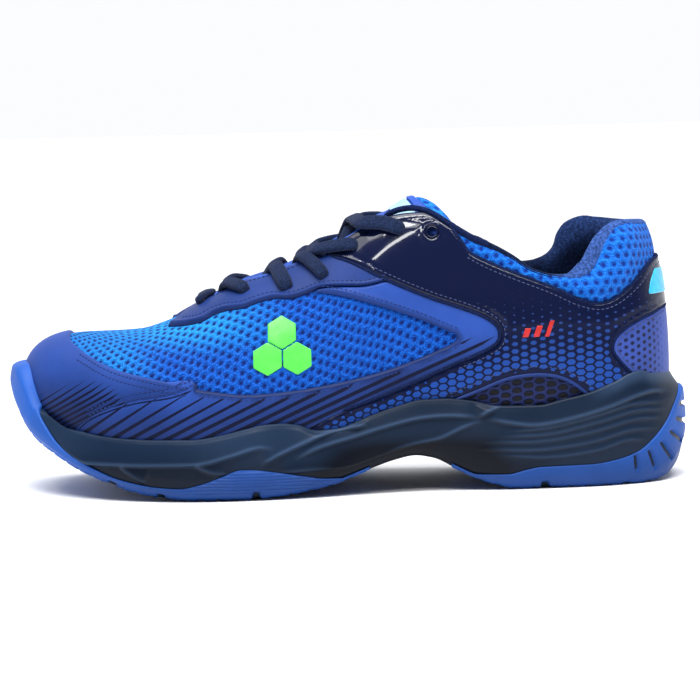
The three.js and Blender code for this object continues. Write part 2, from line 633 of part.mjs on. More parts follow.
function addSole() {
  const whole = soleVolume();
  const footSpace = domeVolume(OVERLAY[1] + GAP, GAP);
  const rubber = whole.intersect(belowRubberLine(-GAP / 2)).subtract(soleCore())
    .subtract(grooves()).subtract(footSpace);
  const front = across([[-200, -20], [25, -20], [25, 90], [-200, 90]]);
  addPiece("forefoot_outsole", largest(rubber.intersect(front)), "blue_rubber");
  addPiece("heel_outsole", largest(rubber.subtract(front)), "blue_rubber");

  const heelPad = (extra) => ovalPad(103, 0, 27 + extra, 20 + extra, -7 - extra, -1.5);
  const ballPad = (extra) => ovalPad(-58, -1, 34 + extra, 28 + extra, -5 - extra, -1.5);
  const midsole = whole.subtract(belowRubberLine(GAP / 2).subtract(soleCore(GAP))).subtract(footSpace)
    .subtract(heelPad(GAP).add(ovalPad(103, 0, 27 + GAP, 20 + GAP, -2, 4)))
    .subtract(ballPad(GAP).add(ovalPad(-58, -1, 34 + GAP, 28 + GAP, -2, 4)))
    .subtract(shankPlate(3 * GAP));
  addPiece("midsole", largest(midsole), "navy_foam");
  addPiece("midfoot_shank", largest(shankPlate(0).intersect(whole)), "shank_black");
  addPiece("heel_cushion", heelPad(0), "gel_blue");
  addPiece("forefoot_cushion", ballPad(0), "gel_blue");

  const inside = LINING[0] - 1.4;
  const plate = (low, high, outset) => loft([
    soleRing(outset, (x) => BOARD_HEIGHT(x) + low), soleRing(outset, (x) => BOARD_HEIGHT(x) + high),
  ]);
  addPiece("strobel_board", plate(0, BOARD_THICKNESS, inside), "board_grey");
  const bed = BOARD_THICKNESS + GAP;
  addPiece("sockliner", plate(bed, bed + SOCKLINER_THICKNESS, inside - 0.4), "navy_textile");
}

// ---------------------------------------------------------------- upper

function addMeshLayer() {
  const layer = skin(MESH).subtract(opening).subtract(eyelets);
  addPiece("vamp_mesh", largest(layer.subtract(behindSaddleFront(-4))), "bright_mesh");
  const rear = layer.intersect(behindSaddleFront(-4 + GAP));
  for (const [name, side] of [["lateral_quarter", -1], ["medial_quarter", 1]]) {
    addPiece(name, largest(rear.intersect(sideHalf(side)).subtract(aboveSaddle(-3))), "navy_textile");
  }
  addPiece("collar_mesh", largest(rear.intersect(aboveSaddle(-3 + GAP))), "bright_mesh");
}

function addOverlays() {
  const layer = skin(OVERLAY).subtract(opening).subtract(eyelets);
  addPiece("toe_guard", largest(layer.intersect(toeGuardZone())), "royal_synthetic");

  const window = across([...WINDOW_LOWER, ...WINDOW_UPPER.slice(1), [-40, 84], [-63.5, 60]]);
  const aboveEyestayLine = (distance) => across([
    ...shifted(EYESTAY_LOWER, distance), [60, 95], [60, 200], [-95, 200], [-95, 71],
  ]);
  const sideArea = across([
    [-116, -20], [80, -20], [80, 120], [-13.4, 120], [-13.4, 60], [-64, 45.8], [-116, 32],
  ]);
  const side = layer.subtract(toeGuardZone(GAP)).subtract(behindSaddleFront(0)).subtract(window)
    .subtract(aboveEyestayLine(-GAP)).intersect(sideArea);
  for (const [name, hand] of [["lateral_side_overlay", -1], ["medial_side_overlay", 1]]) {
    addPiece(name, largest(side.intersect(sideHalf(hand))), "royal_synthetic");
  }
  const eyestay = layer.intersect(aboveEyestayLine(0)).subtract(behindSaddleFront(0))
    .intersect(across([[-79, 40], [60, 40], [60, 200], [-79, 200]]));
  addPiece("eyestay_facing", largest(eyestay), "royal_synthetic");

  const saddle = layer.intersect(behindSaddleFront(GAP)).subtract(aboveSaddle())
    .subtract(ventZone()).subtract(heelPanelZone());
  addPiece("lateral_saddle", largest(saddle.intersect(sideHalf(-1))), "navy_gloss");
  addPiece("medial_saddle", largest(saddle.intersect(sideHalf(1))), "navy_gloss");
  addPiece("heel_panel", largest(layer.intersect(heelPanelZone(GAP))), "royal_synthetic");
  const vent = layer.intersect(ventZone(-GAP));
  addPiece("lateral_vent_panel", largest(vent.intersect(sideHalf(-1))), "dark_perforated");
  addPiece("medial_vent_panel", largest(vent.intersect(sideHalf(1))), "dark_perforated");
}

function addStiffenersAndLinings() {
  const stiffener = skin(STIFFENER);
  const toeZone = across([[-200, -20], [-112, -20], [-104, 40], [-116, 80], [-200, 80]]);
  addPiece("toe_puff", largest(stiffener.intersect(toeZone)), "stiffener_grey");
  const counterEdge = [[150, 78], [132, 76], [118, 66], [104, 50], [92, 36], [88, 20]];
  const counterZone = across([...counterEdge, [88, -20], [200, -20], [200, 78]]);
  addPiece("heel_counter", largest(stiffener.intersect(counterZone)), "stiffener_grey");

  const lining = skin(LINING).subtract(opening).subtract(eyelets);
  const aheadOfSeam = (move) => across([
    [48 + move, -20], [48 + move, 60], [70 + move, 130], [70 + move, 220], [-200, 220], [-200, -20],
  ]);
  addPiece("vamp_lining", largest(lining.intersect(aheadOfSeam(0))), "navy_textile");
  const padZone = collarZone(0);
  const rear = lining.subtract(aheadOfSeam(GAP)).subtract(collarZone(GAP));
  addPiece("quarter_lining", largest(rear), "navy_textile");

  const foam = skin(COLLAR_FOAM).subtract(openingCutter(1.6)).intersect(collarZone(-1.5))
    .subtract(counterZoneBelowPad());
  addPiece("collar_foam", largest(foam), "foam_white");
  const sleeve = skin([COLLAR_LINING_IN, MESH[0] - GAP]).subtract(opening).intersect(padZone);
  const core = skin([COLLAR_FOAM[0] - GAP, 3]).subtract(openingCutter(1.6 - GAP))
    .subtract(counterZoneBelowPad());
  addPiece("collar_lining", largest(sleeve.subtract(core)), "navy_textile");
}

/** The padded part of the collar: above a curve that swoops down behind the ankle. */
function collarZone(extra) {
  const edge = shifted([[62, 101], [68, 92], [82, 83], [100, 79.5], [150, 79.5]], -extra);
  return across([[62 - extra, 220], ...edge, [170, 79.5 - extra], [170, 220]]);
}

/** Keeps the collar's padding clear of the heel counter's top edge. */
function counterZoneBelowPad() {
  return across([[80, -20], [200, -20], [200, 78.8], [80, 78.8]]);
}

// ---------------------------------------------------------------- tongue

/** Point of the tongue: along 0 at its stitched base, across -1..1, depth below its outer face. */
function tonguePoint(along, cross, depth) {
  const at = (a, c) => {
    const x = TONGUE_START + a * (TONGUE_END - TONGUE_START);
    const spread = Math.sqrt(c * c + 0.03) - Math.sqrt(0.03);
    return new THREE.Vector3(
      x + TONGUE_SWEEP(x) * spread, THROAT_MIDDLE(x) + TONGUE_HALF_WIDTH(x) * c,
      TONGUE_RIDGE(x) - TONGUE_DROP(x) * Math.abs(c) ** 2.2,
    );
  };
  const step = 1e-3;
  const lengthwise = at(Math.min(along + step, 1), cross).sub(at(Math.max(along - step, 0), cross));
  const crosswise = at(along, cross + step).sub(at(along, cross - step));
  const normal = lengthwise.cross(crosswise).normalize();
  return at(along, cross).addScaledVector(normal, -depth);
}

/** A layer of the tongue between two shares of its thickness, each moved by a distance. */
function tongueLayer([fromShare, fromMove], [toShare, toMove], end = 1) {
  const [lengths, widths] = [18, 6];
  const face = (share, move) => Array.from({ length: (lengths + 1) * (widths + 1) }, (_, k) => {
    const along = (Math.floor(k / (widths + 1)) / lengths) * end;
    const cross = ((k % (widths + 1)) / widths) * 2 - 1;
    const thickness = TONGUE_THICKNESS(TONGUE_START + along * (TONGUE_END - TONGUE_START));
    return tonguePoint(along, cross, share * thickness + move);
  });
  const vertices = [...face(fromShare, fromMove), ...face(toShare, toMove)];
  const half = (lengths + 1) * (widths + 1);
  const at = (i, j) => i * (widths + 1) + j;
  const triangles = [];
  const quad = (a, b, c, d) => triangles.push([a, b, c], [a, c, d]);
  for (let i = 0; i < lengths; i++) {
    for (let j = 0; j < widths; j++) {
      quad(at(i, j), at(i + 1, j), at(i + 1, j + 1), at(i, j + 1));
      quad(half + at(i, j), half + at(i, j + 1), half + at(i + 1, j + 1), half + at(i + 1, j));
    }
    quad(at(i, 0), half + at(i, 0), half + at(i + 1, 0), at(i + 1, 0));
    quad(at(i + 1, widths), half + at(i + 1, widths), half + at(i, widths), at(i, widths));
  }
  for (let j = 0; j < widths; j++) {
    quad(at(0, j), at(0, j + 1), half + at(0, j + 1), half + at(0, j));
    quad(at(lengths, j + 1), at(lengths, j), half + at(lengths, j), half + at(lengths, j + 1));
  }
  return solid(vertices, triangles);
}

function addTongue() {
  const inset = TONGUE_SKIN + TONGUE_SKIN_GAP;
  const footRoom = domeVolume(LINING[0] - LACE_DIAMETER - 2.4, 0).add(throatSlot(-5.2));
  const layer = (from, to, end) => largest(tongueLayer(from, to, end).intersect(footRoom));
  addPiece("tongue_face", layer([0, 0], [0, TONGUE_SKIN]), "bright_mesh");
  addPiece("tongue_foam", layer([0, inset], [1, -inset], 0.985), "foam_white");
  addPiece("tongue_lining", layer([1, -TONGUE_SKIN], [1, 0]), "navy_textile");
  const label = tongueLayer([0, -GAP - 0.8], [0, -GAP]);
  addPiece("tongue_label", label.intersect(upright([[20, -11], [33, -11], [33, 7], [20, 7]])), "pale_film");
}

// ---------------------------------------------------------------- emblems

/** Three hexagons of a honeycomb, as one side outline each. */
function honeycomb(x, z, size) {
  const cells = [[0, 0], [1, 0], [0.5, Math.sqrt(3) / 2]].map(([i, j]) => [x + i * size, z + j * size]);
  return cells.map(([cx, cz]) => Array.from({ length: 6 }, (_, k) => {
    const angle = Math.PI / 6 + (k * Math.PI) / 3;
    const radius = (size / Math.sqrt(3)) * 1.01;
    return [cx + radius * Math.cos(angle), cz + radius * Math.sin(angle)];
  }));
}

function addEmblems() {
  const film = skin([GAP, 0.9]);
  const cells = honeycomb(-34, 58, 12.5).map((outline) => across(outline)).reduce((a, b) => a.add(b));
  addPiece("lateral_emblem", largest(film.intersect(cells).intersect(sideHalf(-1))), "green_film");
  addPiece("medial_emblem", largest(film.intersect(cells).intersect(sideHalf(1))), "green_film");
  const tab = across([[124, 79], [150, 79], [150, 90], [130, 90]], -14, 14);
  const heelFilm = skin([OVERLAY[1] + GAP, OVERLAY[1] + 0.9]);
  addPiece("heel_reflector", largest(heelFilm.intersect(tab)), "cyan_film");
}

addSole();
addMeshLayer();
addOverlays();
addStiffenersAndLinings();
addTongue();
addPiece("shoelace", laceSolid(0), "lace_navy");
addEmblems();

export default shoe;
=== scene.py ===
"""A left court shoe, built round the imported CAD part. Lengths inside are millimetres until a mesh is made."""

import math

import bpy
import numpy as np
from mathutils import Matrix, Vector


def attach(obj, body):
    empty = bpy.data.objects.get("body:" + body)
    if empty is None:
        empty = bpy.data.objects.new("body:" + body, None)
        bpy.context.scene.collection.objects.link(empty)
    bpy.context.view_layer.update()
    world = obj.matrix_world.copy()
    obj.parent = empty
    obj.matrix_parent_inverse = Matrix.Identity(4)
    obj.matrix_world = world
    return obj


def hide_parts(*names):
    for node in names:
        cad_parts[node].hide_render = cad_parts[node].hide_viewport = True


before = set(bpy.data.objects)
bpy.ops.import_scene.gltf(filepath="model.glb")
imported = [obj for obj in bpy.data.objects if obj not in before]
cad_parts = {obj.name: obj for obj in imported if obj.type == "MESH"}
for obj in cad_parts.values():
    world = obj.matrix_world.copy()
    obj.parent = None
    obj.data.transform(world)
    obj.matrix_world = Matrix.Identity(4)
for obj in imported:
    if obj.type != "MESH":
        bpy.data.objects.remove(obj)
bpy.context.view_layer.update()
MM = 0.001
LATERAL, MEDIAL = -1, 1
SIDES = (LATERAL, MEDIAL)
NAMED_SIDES = ((LATERAL, "lateral"), (MEDIAL, "medial"))


# ---------------------------------------------------------------- curves

def hermite(u, start, start_slope, end, end_slope):
    return ((2 * u**3 - 3 * u**2 + 1) * start + (u**3 - 2 * u**2 + u) * start_slope
            + (3 * u**2 - 2 * u**3) * end + (u**3 - u**2) * end_slope)


def smooth(knots):
    """A monotone cubic through (x, value) knots, level outside them."""
    xs, ys = np.array(knots, float).T
    steps = np.diff(xs)
    slopes = np.diff(ys) / steps
    tangents = np.zeros_like(xs)
    tangents[0], tangents[-1] = slopes[0], slopes[-1]
    for i in range(1, len(xs) - 1):
        before, after = slopes[i - 1:i + 1]
        left, right = steps[i - 1:i + 1]
        if before * after > 0:
            tangents[i] = 3 * (left + right) / ((2 * right + left) / before + (right + 2 * left) / after)

    def value(at):
        x = np.clip(np.asarray(at, float), xs[0], xs[-1])
        i = np.clip(np.searchsorted(xs, x, side="left") - 1, 0, len(xs) - 2)
        h = steps[i]
        return hermite((x - xs[i]) / h, ys[i], h * tangents[i], ys[i + 1], h * tangents[i + 1])

    return value


def rounded(points, per_span=6):
    """A smooth polyline through the points, in any number of dimensions."""
    p = np.asarray(points, float)
    p = np.vstack([2 * p[0] - p[1], p, 2 * p[-1] - p[-2]])
    t = np.linspace(0, 1, per_span, endpoint=False)[:, None]
    out = []
    for i in range(1, len(p) - 2):
        p0, p1, p2, p3 = p[i - 1:i + 3]
        d1, d2, d3 = (max(np.linalg.norm(b - a), 1e-6) ** 0.5 for a, b in ((p0, p1), (p1, p2), (p2, p3)))
        m1 = (p1 - p0) / d1 - (p2 - p0) / (d1 + d2) + (p2 - p1) / d2
        m2 = (p2 - p1) / d2 - (p3 - p1) / (d2 + d3) + (p3 - p2) / d3
        out.append(hermite(t, p1, m1 * d2, p2, m2 * d2))
    out.append(p[-2][None])
    return np.vstack(out)


def rounded_loop(points, per_span=4, roundness=0.42):
    """A closed smooth loop through the points."""
    p = np.asarray(points, float)
    t = np.linspace(0, 1, per_span, endpoint=False)[:, None]
    out = []
    for i in range(len(p)):
        p0, p1, p2, p3 = (p[(i + k) % len(p)] for k in (-1, 0, 1, 2))
        out.append(hermite(t, p1, (p2 - p0) * roundness, p2, (p3 - p1) * roundness))
    return np.vstack(out)


def step(low, high, x):
    """0 below low, 1 above high, smooth between."""
    t = np.clip((x - low) / (high - low), 0, 1)
    return t * t * (3 - 2 * t)


def ridge(x, centre, half_width, power=2):
    """1 at the centre, falling off to both sides."""
    return np.exp(-((x - centre) / half_width) ** power)


def unit(v):
    return v / np.maximum(np.linalg.norm(v, axis=-1, keepdims=True), 1e-9)


def run_along(p):
    """Length along a polyline at each of its points."""
    return np.concatenate([[0], np.cumsum(np.linalg.norm(np.diff(p, axis=0), axis=1))])


def relax(line, times):
    """Evens out a line's values in place, and leaves its ends."""
    for _ in range(times):
        line[1:-1] = (line[:-2] + 2 * line[1:-1] + line[2:]) / 4


# ---------------------------------------------------------------- the last: same surface as the CAD part

FEATHER_LINE = np.array([
    (-139.5, 8), (-134, -9), (-119, -25), (-97, -38), (-69, -45.5), (-40, -46.5),
    (-10, -42), (20, -37), (50, -34), (80, -33), (107, -30.5), (128, -20.5),
    (137.5, 0), (128, 20.5), (107, 30), (80, 32), (50, 30), (20, 30),
    (-10, 34.5), (-40, 41.5), (-69, 46), (-97, 45), (-119, 38), (-134, 25),
])
BOARD_HEIGHT = smooth([
    (-141, 34), (-134, 29.5), (-120, 22), (-105, 17.6), (-92, 15.5), (-65, 14.5), (-30, 16), (10, 20), (50, 24),
    (90, 26), (140, 27),
])
SPINE_X = smooth([
    (-139.5, -112), (-134, -109), (-119, -102), (-97, -90), (-69, -67), (-40, -40),
    (50, 50), (80, 73), (107, 86), (128, 91), (137.5, 92.5),
])
SPINE_Y = smooth([(-112, 7), (-70, 2), (-40, 0), (92.5, 0)])
SPINE_Z = smooth([
    (-112, 67.8), (-100, 68), (-90, 68.6), (-80, 71.4), (-70, 75.5), (-60, 81), (-45, 89),
    (-30, 94.5), (-15, 102), (0, 112), (20, 127), (40, 136), (60, 142), (92.5, 146),
])
RISE = smooth([(-139.5, 0.8), (-119, 0.76), (-97, 0.71), (-69, 0.62), (50, 0.6), (80, 0.57), (137.5, 0.49)])
REACH = smooth([
    (-139.5, 0.7), (-110, 0.66), (-69, 0.68), (20, 0.65), (50, 0.75), (80, 0.88), (107, 0.88), (137.5, 0.83),
])
BULGE = smooth([(-139.5, 8.2), (-119, 5.4), (-97, 5), (-69, 6), (-40, 5), (0, 3), (80, 3), (137.5, 4)])

MESH_THICKNESS = 1.5
LINING_OFFSET = -3.1
GAP = 0.3


def feather(turn):
    n = len(FEATHER_LINE)
    at = np.mod(np.asarray(turn, float), 1.0) * n
    i = np.floor(at).astype(int)
    p0, p1, p2, p3 = (FEATHER_LINE[(i + k) % n] for k in (-1, 0, 1, 2))
    return hermite((at - i)[..., None], p1, (p2 - p0) / 2, p2, (p3 - p1) / 2)


def wall(turn):
    """The four Bezier points of the wall at each turn."""
    xy = feather(turn)
    foot = np.stack([xy[..., 0], xy[..., 1], BOARD_HEIGHT(xy[..., 0])], -1)
    sx = SPINE_X(xy[..., 0])
    top = np.stack([sx, SPINE_Y(sx), SPINE_Z(sx)], -1)
    out = np.stack([xy[..., 0] - sx, xy[..., 1] - top[..., 1], np.zeros_like(sx)], -1)
    width = np.linalg.norm(out, axis=-1, keepdims=True)
    out = out / width
    low = foot + out * BULGE(xy[..., 0])[..., None]
    low[..., 2] += RISE(xy[..., 0]) * (top[..., 2] - foot[..., 2])
    high = top + out * REACH(xy[..., 0])[..., None] * width
    return foot, low, high, top, out


def surface(turn, up):
    p0, p1, p2, p3, _ = wall(turn)
    u = np.asarray(up, float)[..., None]
    return (1 - u)**3 * p0 + 3 * (1 - u)**2 * u * p1 + 3 * (1 - u) * u**2 * p2 + u**3 * p3


def placed(turn, up):
    """Points of the surface and their outward normals."""
    up = np.clip(up, 0, 1)
    e = 2e-4
    along = surface(turn + e, up) - surface(turn - e, up)
    rising = surface(turn, np.minimum(up + e, 1)) - surface(turn, np.maximum(up - e, 0))
    p = surface(turn, up)
    slope = (SPINE_Z(p[..., 0] + 1) - SPINE_Z(p[..., 0] - 1)) / 2
    crest = unit(np.stack([-slope, np.zeros_like(slope), np.ones_like(slope)], -1))
    at_top = (up > 0.9985)[..., None]
    return p, np.where(at_top, crest, unit(np.cross(along, rising)))


def shifted(turn, up, offset):
    p, n = placed(turn, up)
    return p + n * np.broadcast_to(offset, len(turn))[:, None]


def find(points, side):
    """Turn and up of the surface points that a side view shows at (x, z)."""
    want = np.asarray(points, float)
    share_grid, up_grid = np.meshgrid(np.linspace(0.01, 0.49, 90), np.linspace(0.02, 0.99, 60), indexing="ij")
    share_grid, up_grid = share_grid.ravel(), up_grid.ravel()
    turn_grid = share_grid if side < 0 else 1 - share_grid
    seen = surface(turn_grid, up_grid)[:, [0, 2]]
    nearest = np.array([np.argmin(((seen - w) ** 2).sum(1)) for w in want])
    turn, up = turn_grid[nearest].copy(), up_grid[nearest].copy()
    for _ in range(8):
        here = surface(turn, up)[:, [0, 2]]
        by_turn = (surface(turn + 1e-4, up)[:, [0, 2]] - here) / 1e-4
        by_up = (surface(turn, up + 1e-4)[:, [0, 2]] - here) / 1e-4
        miss = want - here
        det = by_turn[:, 0] * by_up[:, 1] - by_turn[:, 1] * by_up[:, 0]
        det = np.where(np.abs(det) < 1e-3, 1e-3, det)
        turn += np.clip((miss[:, 0] * by_up[:, 1] - miss[:, 1] * by_up[:, 0]) / det, -0.02, 0.02)
        up += np.clip((by_turn[:, 0] * miss[:, 1] - by_turn[:, 1] * miss[:, 0]) / det, -0.05, 0.05)
        up = np.clip(up, 0, 1)
    return turn, up


# ---------------------------------------------------------------- outlines, as (x, z) seen from the side

TOE_GUARD_TOP = [(-121.5, 75), (-121.5, 70), (-120.5, 65.5), (-114, 61), (-100, 54.5), (-81.5, 50.2), (-66, 47.6)]
TOE_GUARD_LOW = [(-64.2, 46.2), (-73.7, 42.9), (-90.6, 40.1), (-102, 36.7), (-110, 33), (-116, 28), (-119, 20)]
WINDOW_LOWER = [
    (-63, 46.2), (-52, 44.6), (-43.8, 43.8), (-24.9, 44.6), (-5.9, 47.1), (10.5, 50.4), (25.3, 54.7), (39.7, 60.2),
    (44, 62.2), (46.4, 64.2),
]
WINDOW_UPPER = [(45.6, 65.8), (42, 67.3), (29.7, 72.7), (8, 80.2), (-2.5, 83), (-13.4, 84.4), (-24, 83)]
EYESTAY_LOWER = [
    (-82, 69.6), (-79, 70.2), (-70, 71.2), (-62, 73), (-56, 76), (-51, 77.6), (-44, 78.6), (-38, 80.6), (-31, 82.2),
    (-23.6, 82.2), (-17, 84), (-11, 86.2), (-2, 86.8), (8, 87), (17, 89),
]
SADDLE_FRONT = [
    (-24, 118), (-15, 103), (-11, 99.5), (-6, 98.6), (2, 96.4), (17, 89), (35.8, 81), (51, 75.6),
    (59.6, 71.6), (63.5, 67.7),
    (63.3, 62.6), (58.5, 59), (44.8, 53.5), (20, 43.4), (-4, 35.3), (-17, 28.6), (-24, 22),
]
SADDLE_TOP = [
    (40, 116), (44.5, 111), (49, 104.4), (52, 100), (60.7, 95.2), (73.2, 89.8), (87, 84.2), (98.3, 78.8),
    (106.6, 76.8),
    (113, 78.5), (121.5, 84.6), (128, 91.6), (133, 94.5), (145, 95.5),
]
VENT_ARCH = [
    (38, 33), (43, 37.4), (55, 41.9), (67.8, 46.6), (80.4, 47.8), (88.8, 46.5), (95.1, 43.4),
    (101, 38.5), (106, 33),
]
HEEL_PANEL_FRONT = [
    (147, 74), (134.9, 73.4), (130.2, 71.8), (123.9, 69.5), (117, 65.8), (112.6, 61.4), (111.8, 57),
    (115.1, 51.8), (121, 45.4),
    (128, 38),
]
TOPLINE = {
    LATERAL: [
        (12, 111), (14, 113), (19.6, 116.4), (24, 117.8), (29.4, 118.2), (36, 116.4), (42.5, 112.4), (48.8, 108),
        (54, 104.8), (58.7, 102.8), (62.9, 101.2), (70.4, 97.2), (77.4, 92.4), (84.6, 89.8), (91.7, 88.6), (98, 88.6),
        (102, 90), (104.6, 92.8), (107.4, 98), (110.3, 103.9), (115.1, 108.6), (119.3, 110), (124, 110.2),
        (134, 109.5),
    ],
    MEDIAL: [
        (12, 109), (18, 112.5), (24, 115.5), (29.4, 116.6), (37, 113.5), (45.3, 107), (54, 100.8), (61, 96.2),
        (66, 93.8),
        (72, 92), (78, 91.6), (84, 92.4), (88, 93.8), (91, 95.6), (94, 99), (97.5, 103), (101.5, 106), (106, 108),
        (112, 109.2), (120, 109.2), (134, 108.6),
    ],
}
THROAT_START = -62
THROAT_HALF_GAP = smooth([
    (THROAT_START, 2), (-59, 6), (-52, 8.5), (-40, 10.5), (-20, 12.5), (0, 15), (20, 17.5), (40, 21), (60, 25),
])
THROAT_MIDDLE = smooth([(-60, 0), (-10, -2)])
EYELETS = [(-62, 79), (-43, 84.6), (-25.2, 86), (-9.2, 91), (4.4, 103), (23.7, 109.5), (36.8, 108.5)]


def distance(points, outline, closed=True):
    """Signed distance to a polygon: positive inside it. For an open line, positive on its left."""
    outline = np.asarray(outline, float)
    a = outline if closed else outline[:-1]
    b = np.roll(outline, -1, axis=0) if closed else outline[1:]
    best = np.full(len(points), 1e9)
    inside = np.zeros(len(points), bool)
    sign = np.ones(len(points))
    share = np.zeros(len(points))
    lengths = np.linalg.norm(b - a, axis=1)
    starts = np.concatenate([[0], np.cumsum(lengths)[:-1]])
    total = lengths.sum()
    x, z = points[:, 0], points[:, 1]
    for k, (p, q) in enumerate(zip(a, b)):
        d = q - p
        t = np.clip(((x - p[0]) * d[0] + (z - p[1]) * d[1]) / max(d @ d, 1e-12), 0, 1)
        gap = np.hypot(x - p[0] - t * d[0], z - p[1] - t * d[1])
        nearer = gap < best
        best = np.where(nearer, gap, best)
        if closed:
            if p[1] != q[1]:
                crosses = ((p[1] > z) != (q[1] > z)) & (x < (q[0] - p[0]) * (z - p[1]) / (q[1] - p[1]) + p[0])
                inside ^= crosses
        else:
            side = np.sign(d[0] * (z - p[1]) - d[1] * (x - p[0]))
            sign = np.where(nearer, np.where(side == 0, 1, side), sign)
            share = np.where(nearer, (starts[k] + t * lengths[k]) / total, share)
    if closed:
        return np.where(inside, best, -best)
    return sign * best, share


def side_view(p):
    return p[:, [0, 2]]


ZONES = {
    "toe_guard": np.vstack([rounded(TOE_GUARD_TOP), rounded(TOE_GUARD_LOW), [(-119, -30), (-250, -30), (-250, 75)]]),
    "window": np.vstack([rounded(WINDOW_LOWER), rounded(WINDOW_UPPER), [(-40, 82), (-63, 66)]]),
    "above_eyestay": np.vstack([rounded(EYESTAY_LOWER), [(60, 95), (60, 260), (-120, 260), (-120, 69.6)]]),
    "saddle": np.vstack([rounded(SADDLE_FRONT), [(-24, -60), (260, -60), (260, 260), (-24, 260)]]),
    "above_saddle": np.vstack([rounded(SADDLE_TOP), [(260, 95.5), (260, 260), (40, 260)]]),
    "vent": np.vstack([rounded(VENT_ARCH), [(106, -60), (38, -60)]]),
    "heel_panel": np.vstack([rounded(HEEL_PANEL_FRONT), [(128, -60), (260, -60), (260, 74)]]),
}
TOP_EDGES = {side: rounded(TOPLINE[side]) for side in (LATERAL, MEDIAL)}
ABOVE_TOP = {side: np.vstack([TOP_EDGES[side], [(260, 111.5), (260, 260), (12, 260)]]) for side in (LATERAL, MEDIAL)}


def zone(name, p):
    return distance(side_view(p), ZONES[name])


def from_opening(p):
    """Distance from the throat and the collar's edge; positive where there is material."""
    off_middle = np.abs(p[:, 1] - THROAT_MIDDLE(p[:, 0])) - THROAT_HALF_GAP(p[:, 0])
    slot = np.maximum(off_middle, THROAT_START - p[:, 0])
    slot = np.where((p[:, 2] > 60) & (p[:, 0] < 80), slot, 99)
    lateral, medial = (distance(side_view(p), ABOVE_TOP[side]) for side in SIDES)
    return np.minimum(slot, -np.where(p[:, 1] < 0, lateral, medial))


def hole_at(p, row, radius):
    """Distance outside the eyelet holes of a row, on both sides."""
    best = np.full(len(p), 99.0)
    for side in (LATERAL, MEDIAL):
        turn, up = find([EYELETS[row]], side)
        centre = surface(turn, up)[0]
        best = np.minimum(best, np.linalg.norm(p - centre, axis=1) - radius)
    return best


# ---------------------------------------------------------------- meshes

def halves(quads):
    return np.vstack([quads[:, [0, 1, 2]], quads[:, [0, 2, 3]]])


def grid(rows, columns, wrap=False):
    """Triangles of a grid of points, given row by row; wrap joins the last column to the first."""
    i, j = np.meshgrid(np.arange(rows - 1), np.arange(columns if wrap else columns - 1), indexing="ij")
    a, b = (i * columns + j).ravel(), (i * columns + (j + 1) % columns).ravel()
    return halves(np.stack([a, b, b + columns, a + columns], 1))


def without_flat(tris):
    """The triangles that have three different corners."""
    return tris[(tris[:, 0] != tris[:, 1]) & (tris[:, 1] != tris[:, 2]) & (tris[:, 0] != tris[:, 2])]


def welded(points, tris, per_mm):
    """Joins points that round to the same place. Returns the points that stay, and the triangles."""
    key = np.round(points * per_mm).astype(np.int64)
    _, first, inverse = np.unique(key, axis=0, return_index=True, return_inverse=True)
    return first, without_flat(inverse.ravel()[tris])


def outward_faces(vertices, tris):
    """The triangles with all of them facing out, for one closed body."""
    a, b, c = (vertices[tris[:, k]] for k in range(3))
    return tris if np.einsum("ij,ij->i", a, np.cross(b, c)).sum() > 0 else tris[:, ::-1]


def border(tris):
    """Directed edges that belong to one triangle only."""
    edges = np.vstack([tris[:, [0, 1]], tris[:, [1, 2]], tris[:, [2, 0]]])
    _, index, count = np.unique(np.sort(edges, axis=1), axis=0, return_index=True, return_counts=True)
    return edges[index[count == 1]]


def shell(outer, inner, tris):
    """Vertices and faces of a closed shell between two sheets that share their triangles."""
    count = len(outer)
    a, b = border(tris).T
    rim = np.vstack([np.stack([b, a, a + count], 1), np.stack([b, a + count, b + count], 1)])
    return np.vstack([outer, inner]), np.vstack([tris, tris[:, ::-1] + count, rim])


def tube_faces(rings, sides):
    """Triangles of a closed tube: its rings of points, then the middles of the first and last ring."""
    k = np.arange(sides)
    after = (k + 1) % sides
    first, last = np.full(sides, rings * sides), (rings - 1) * sides
    ends = [np.stack([first, after, k], 1), np.stack([first + 1, last + k, last + after], 1)]
    return np.vstack([grid(rings, sides, wrap=True)] + ends)


def tube(path, radius, up, sides=8, flat=1.0):
    """Vertices and faces of a closed tube along points; flat scales its height along up."""
    across = unit(np.cross(unit(np.gradient(path, axis=0)), up))
    lift = np.cross(across, unit(np.gradient(path, axis=0)))
    angle = np.linspace(0, 2 * np.pi, sides, endpoint=False)[None, :, None]
    ring = np.cos(angle) * across[:, None, :] + flat * np.sin(angle) * lift[:, None, :]
    rings = path[:, None, :] + ring * np.broadcast_to(radius, len(path))[:, None, None]
    return np.vstack([rings.reshape(-1, 3), path[0], path[-1]]), tube_faces(len(path), sides)


def cord(turn, up, offset, radius, sides=8, flat=1.0):
    """A closed tube that lies along a line of the surface."""
    return tube(shifted(turn, up, offset), radius, placed(turn, up)[1], sides, flat)


def tapered(size, ends):
    """A cord's radii with both ends drawn in by the given shares."""
    size[:len(ends)] *= ends
    size[-len(ends):] *= ends[::-1]
    return size


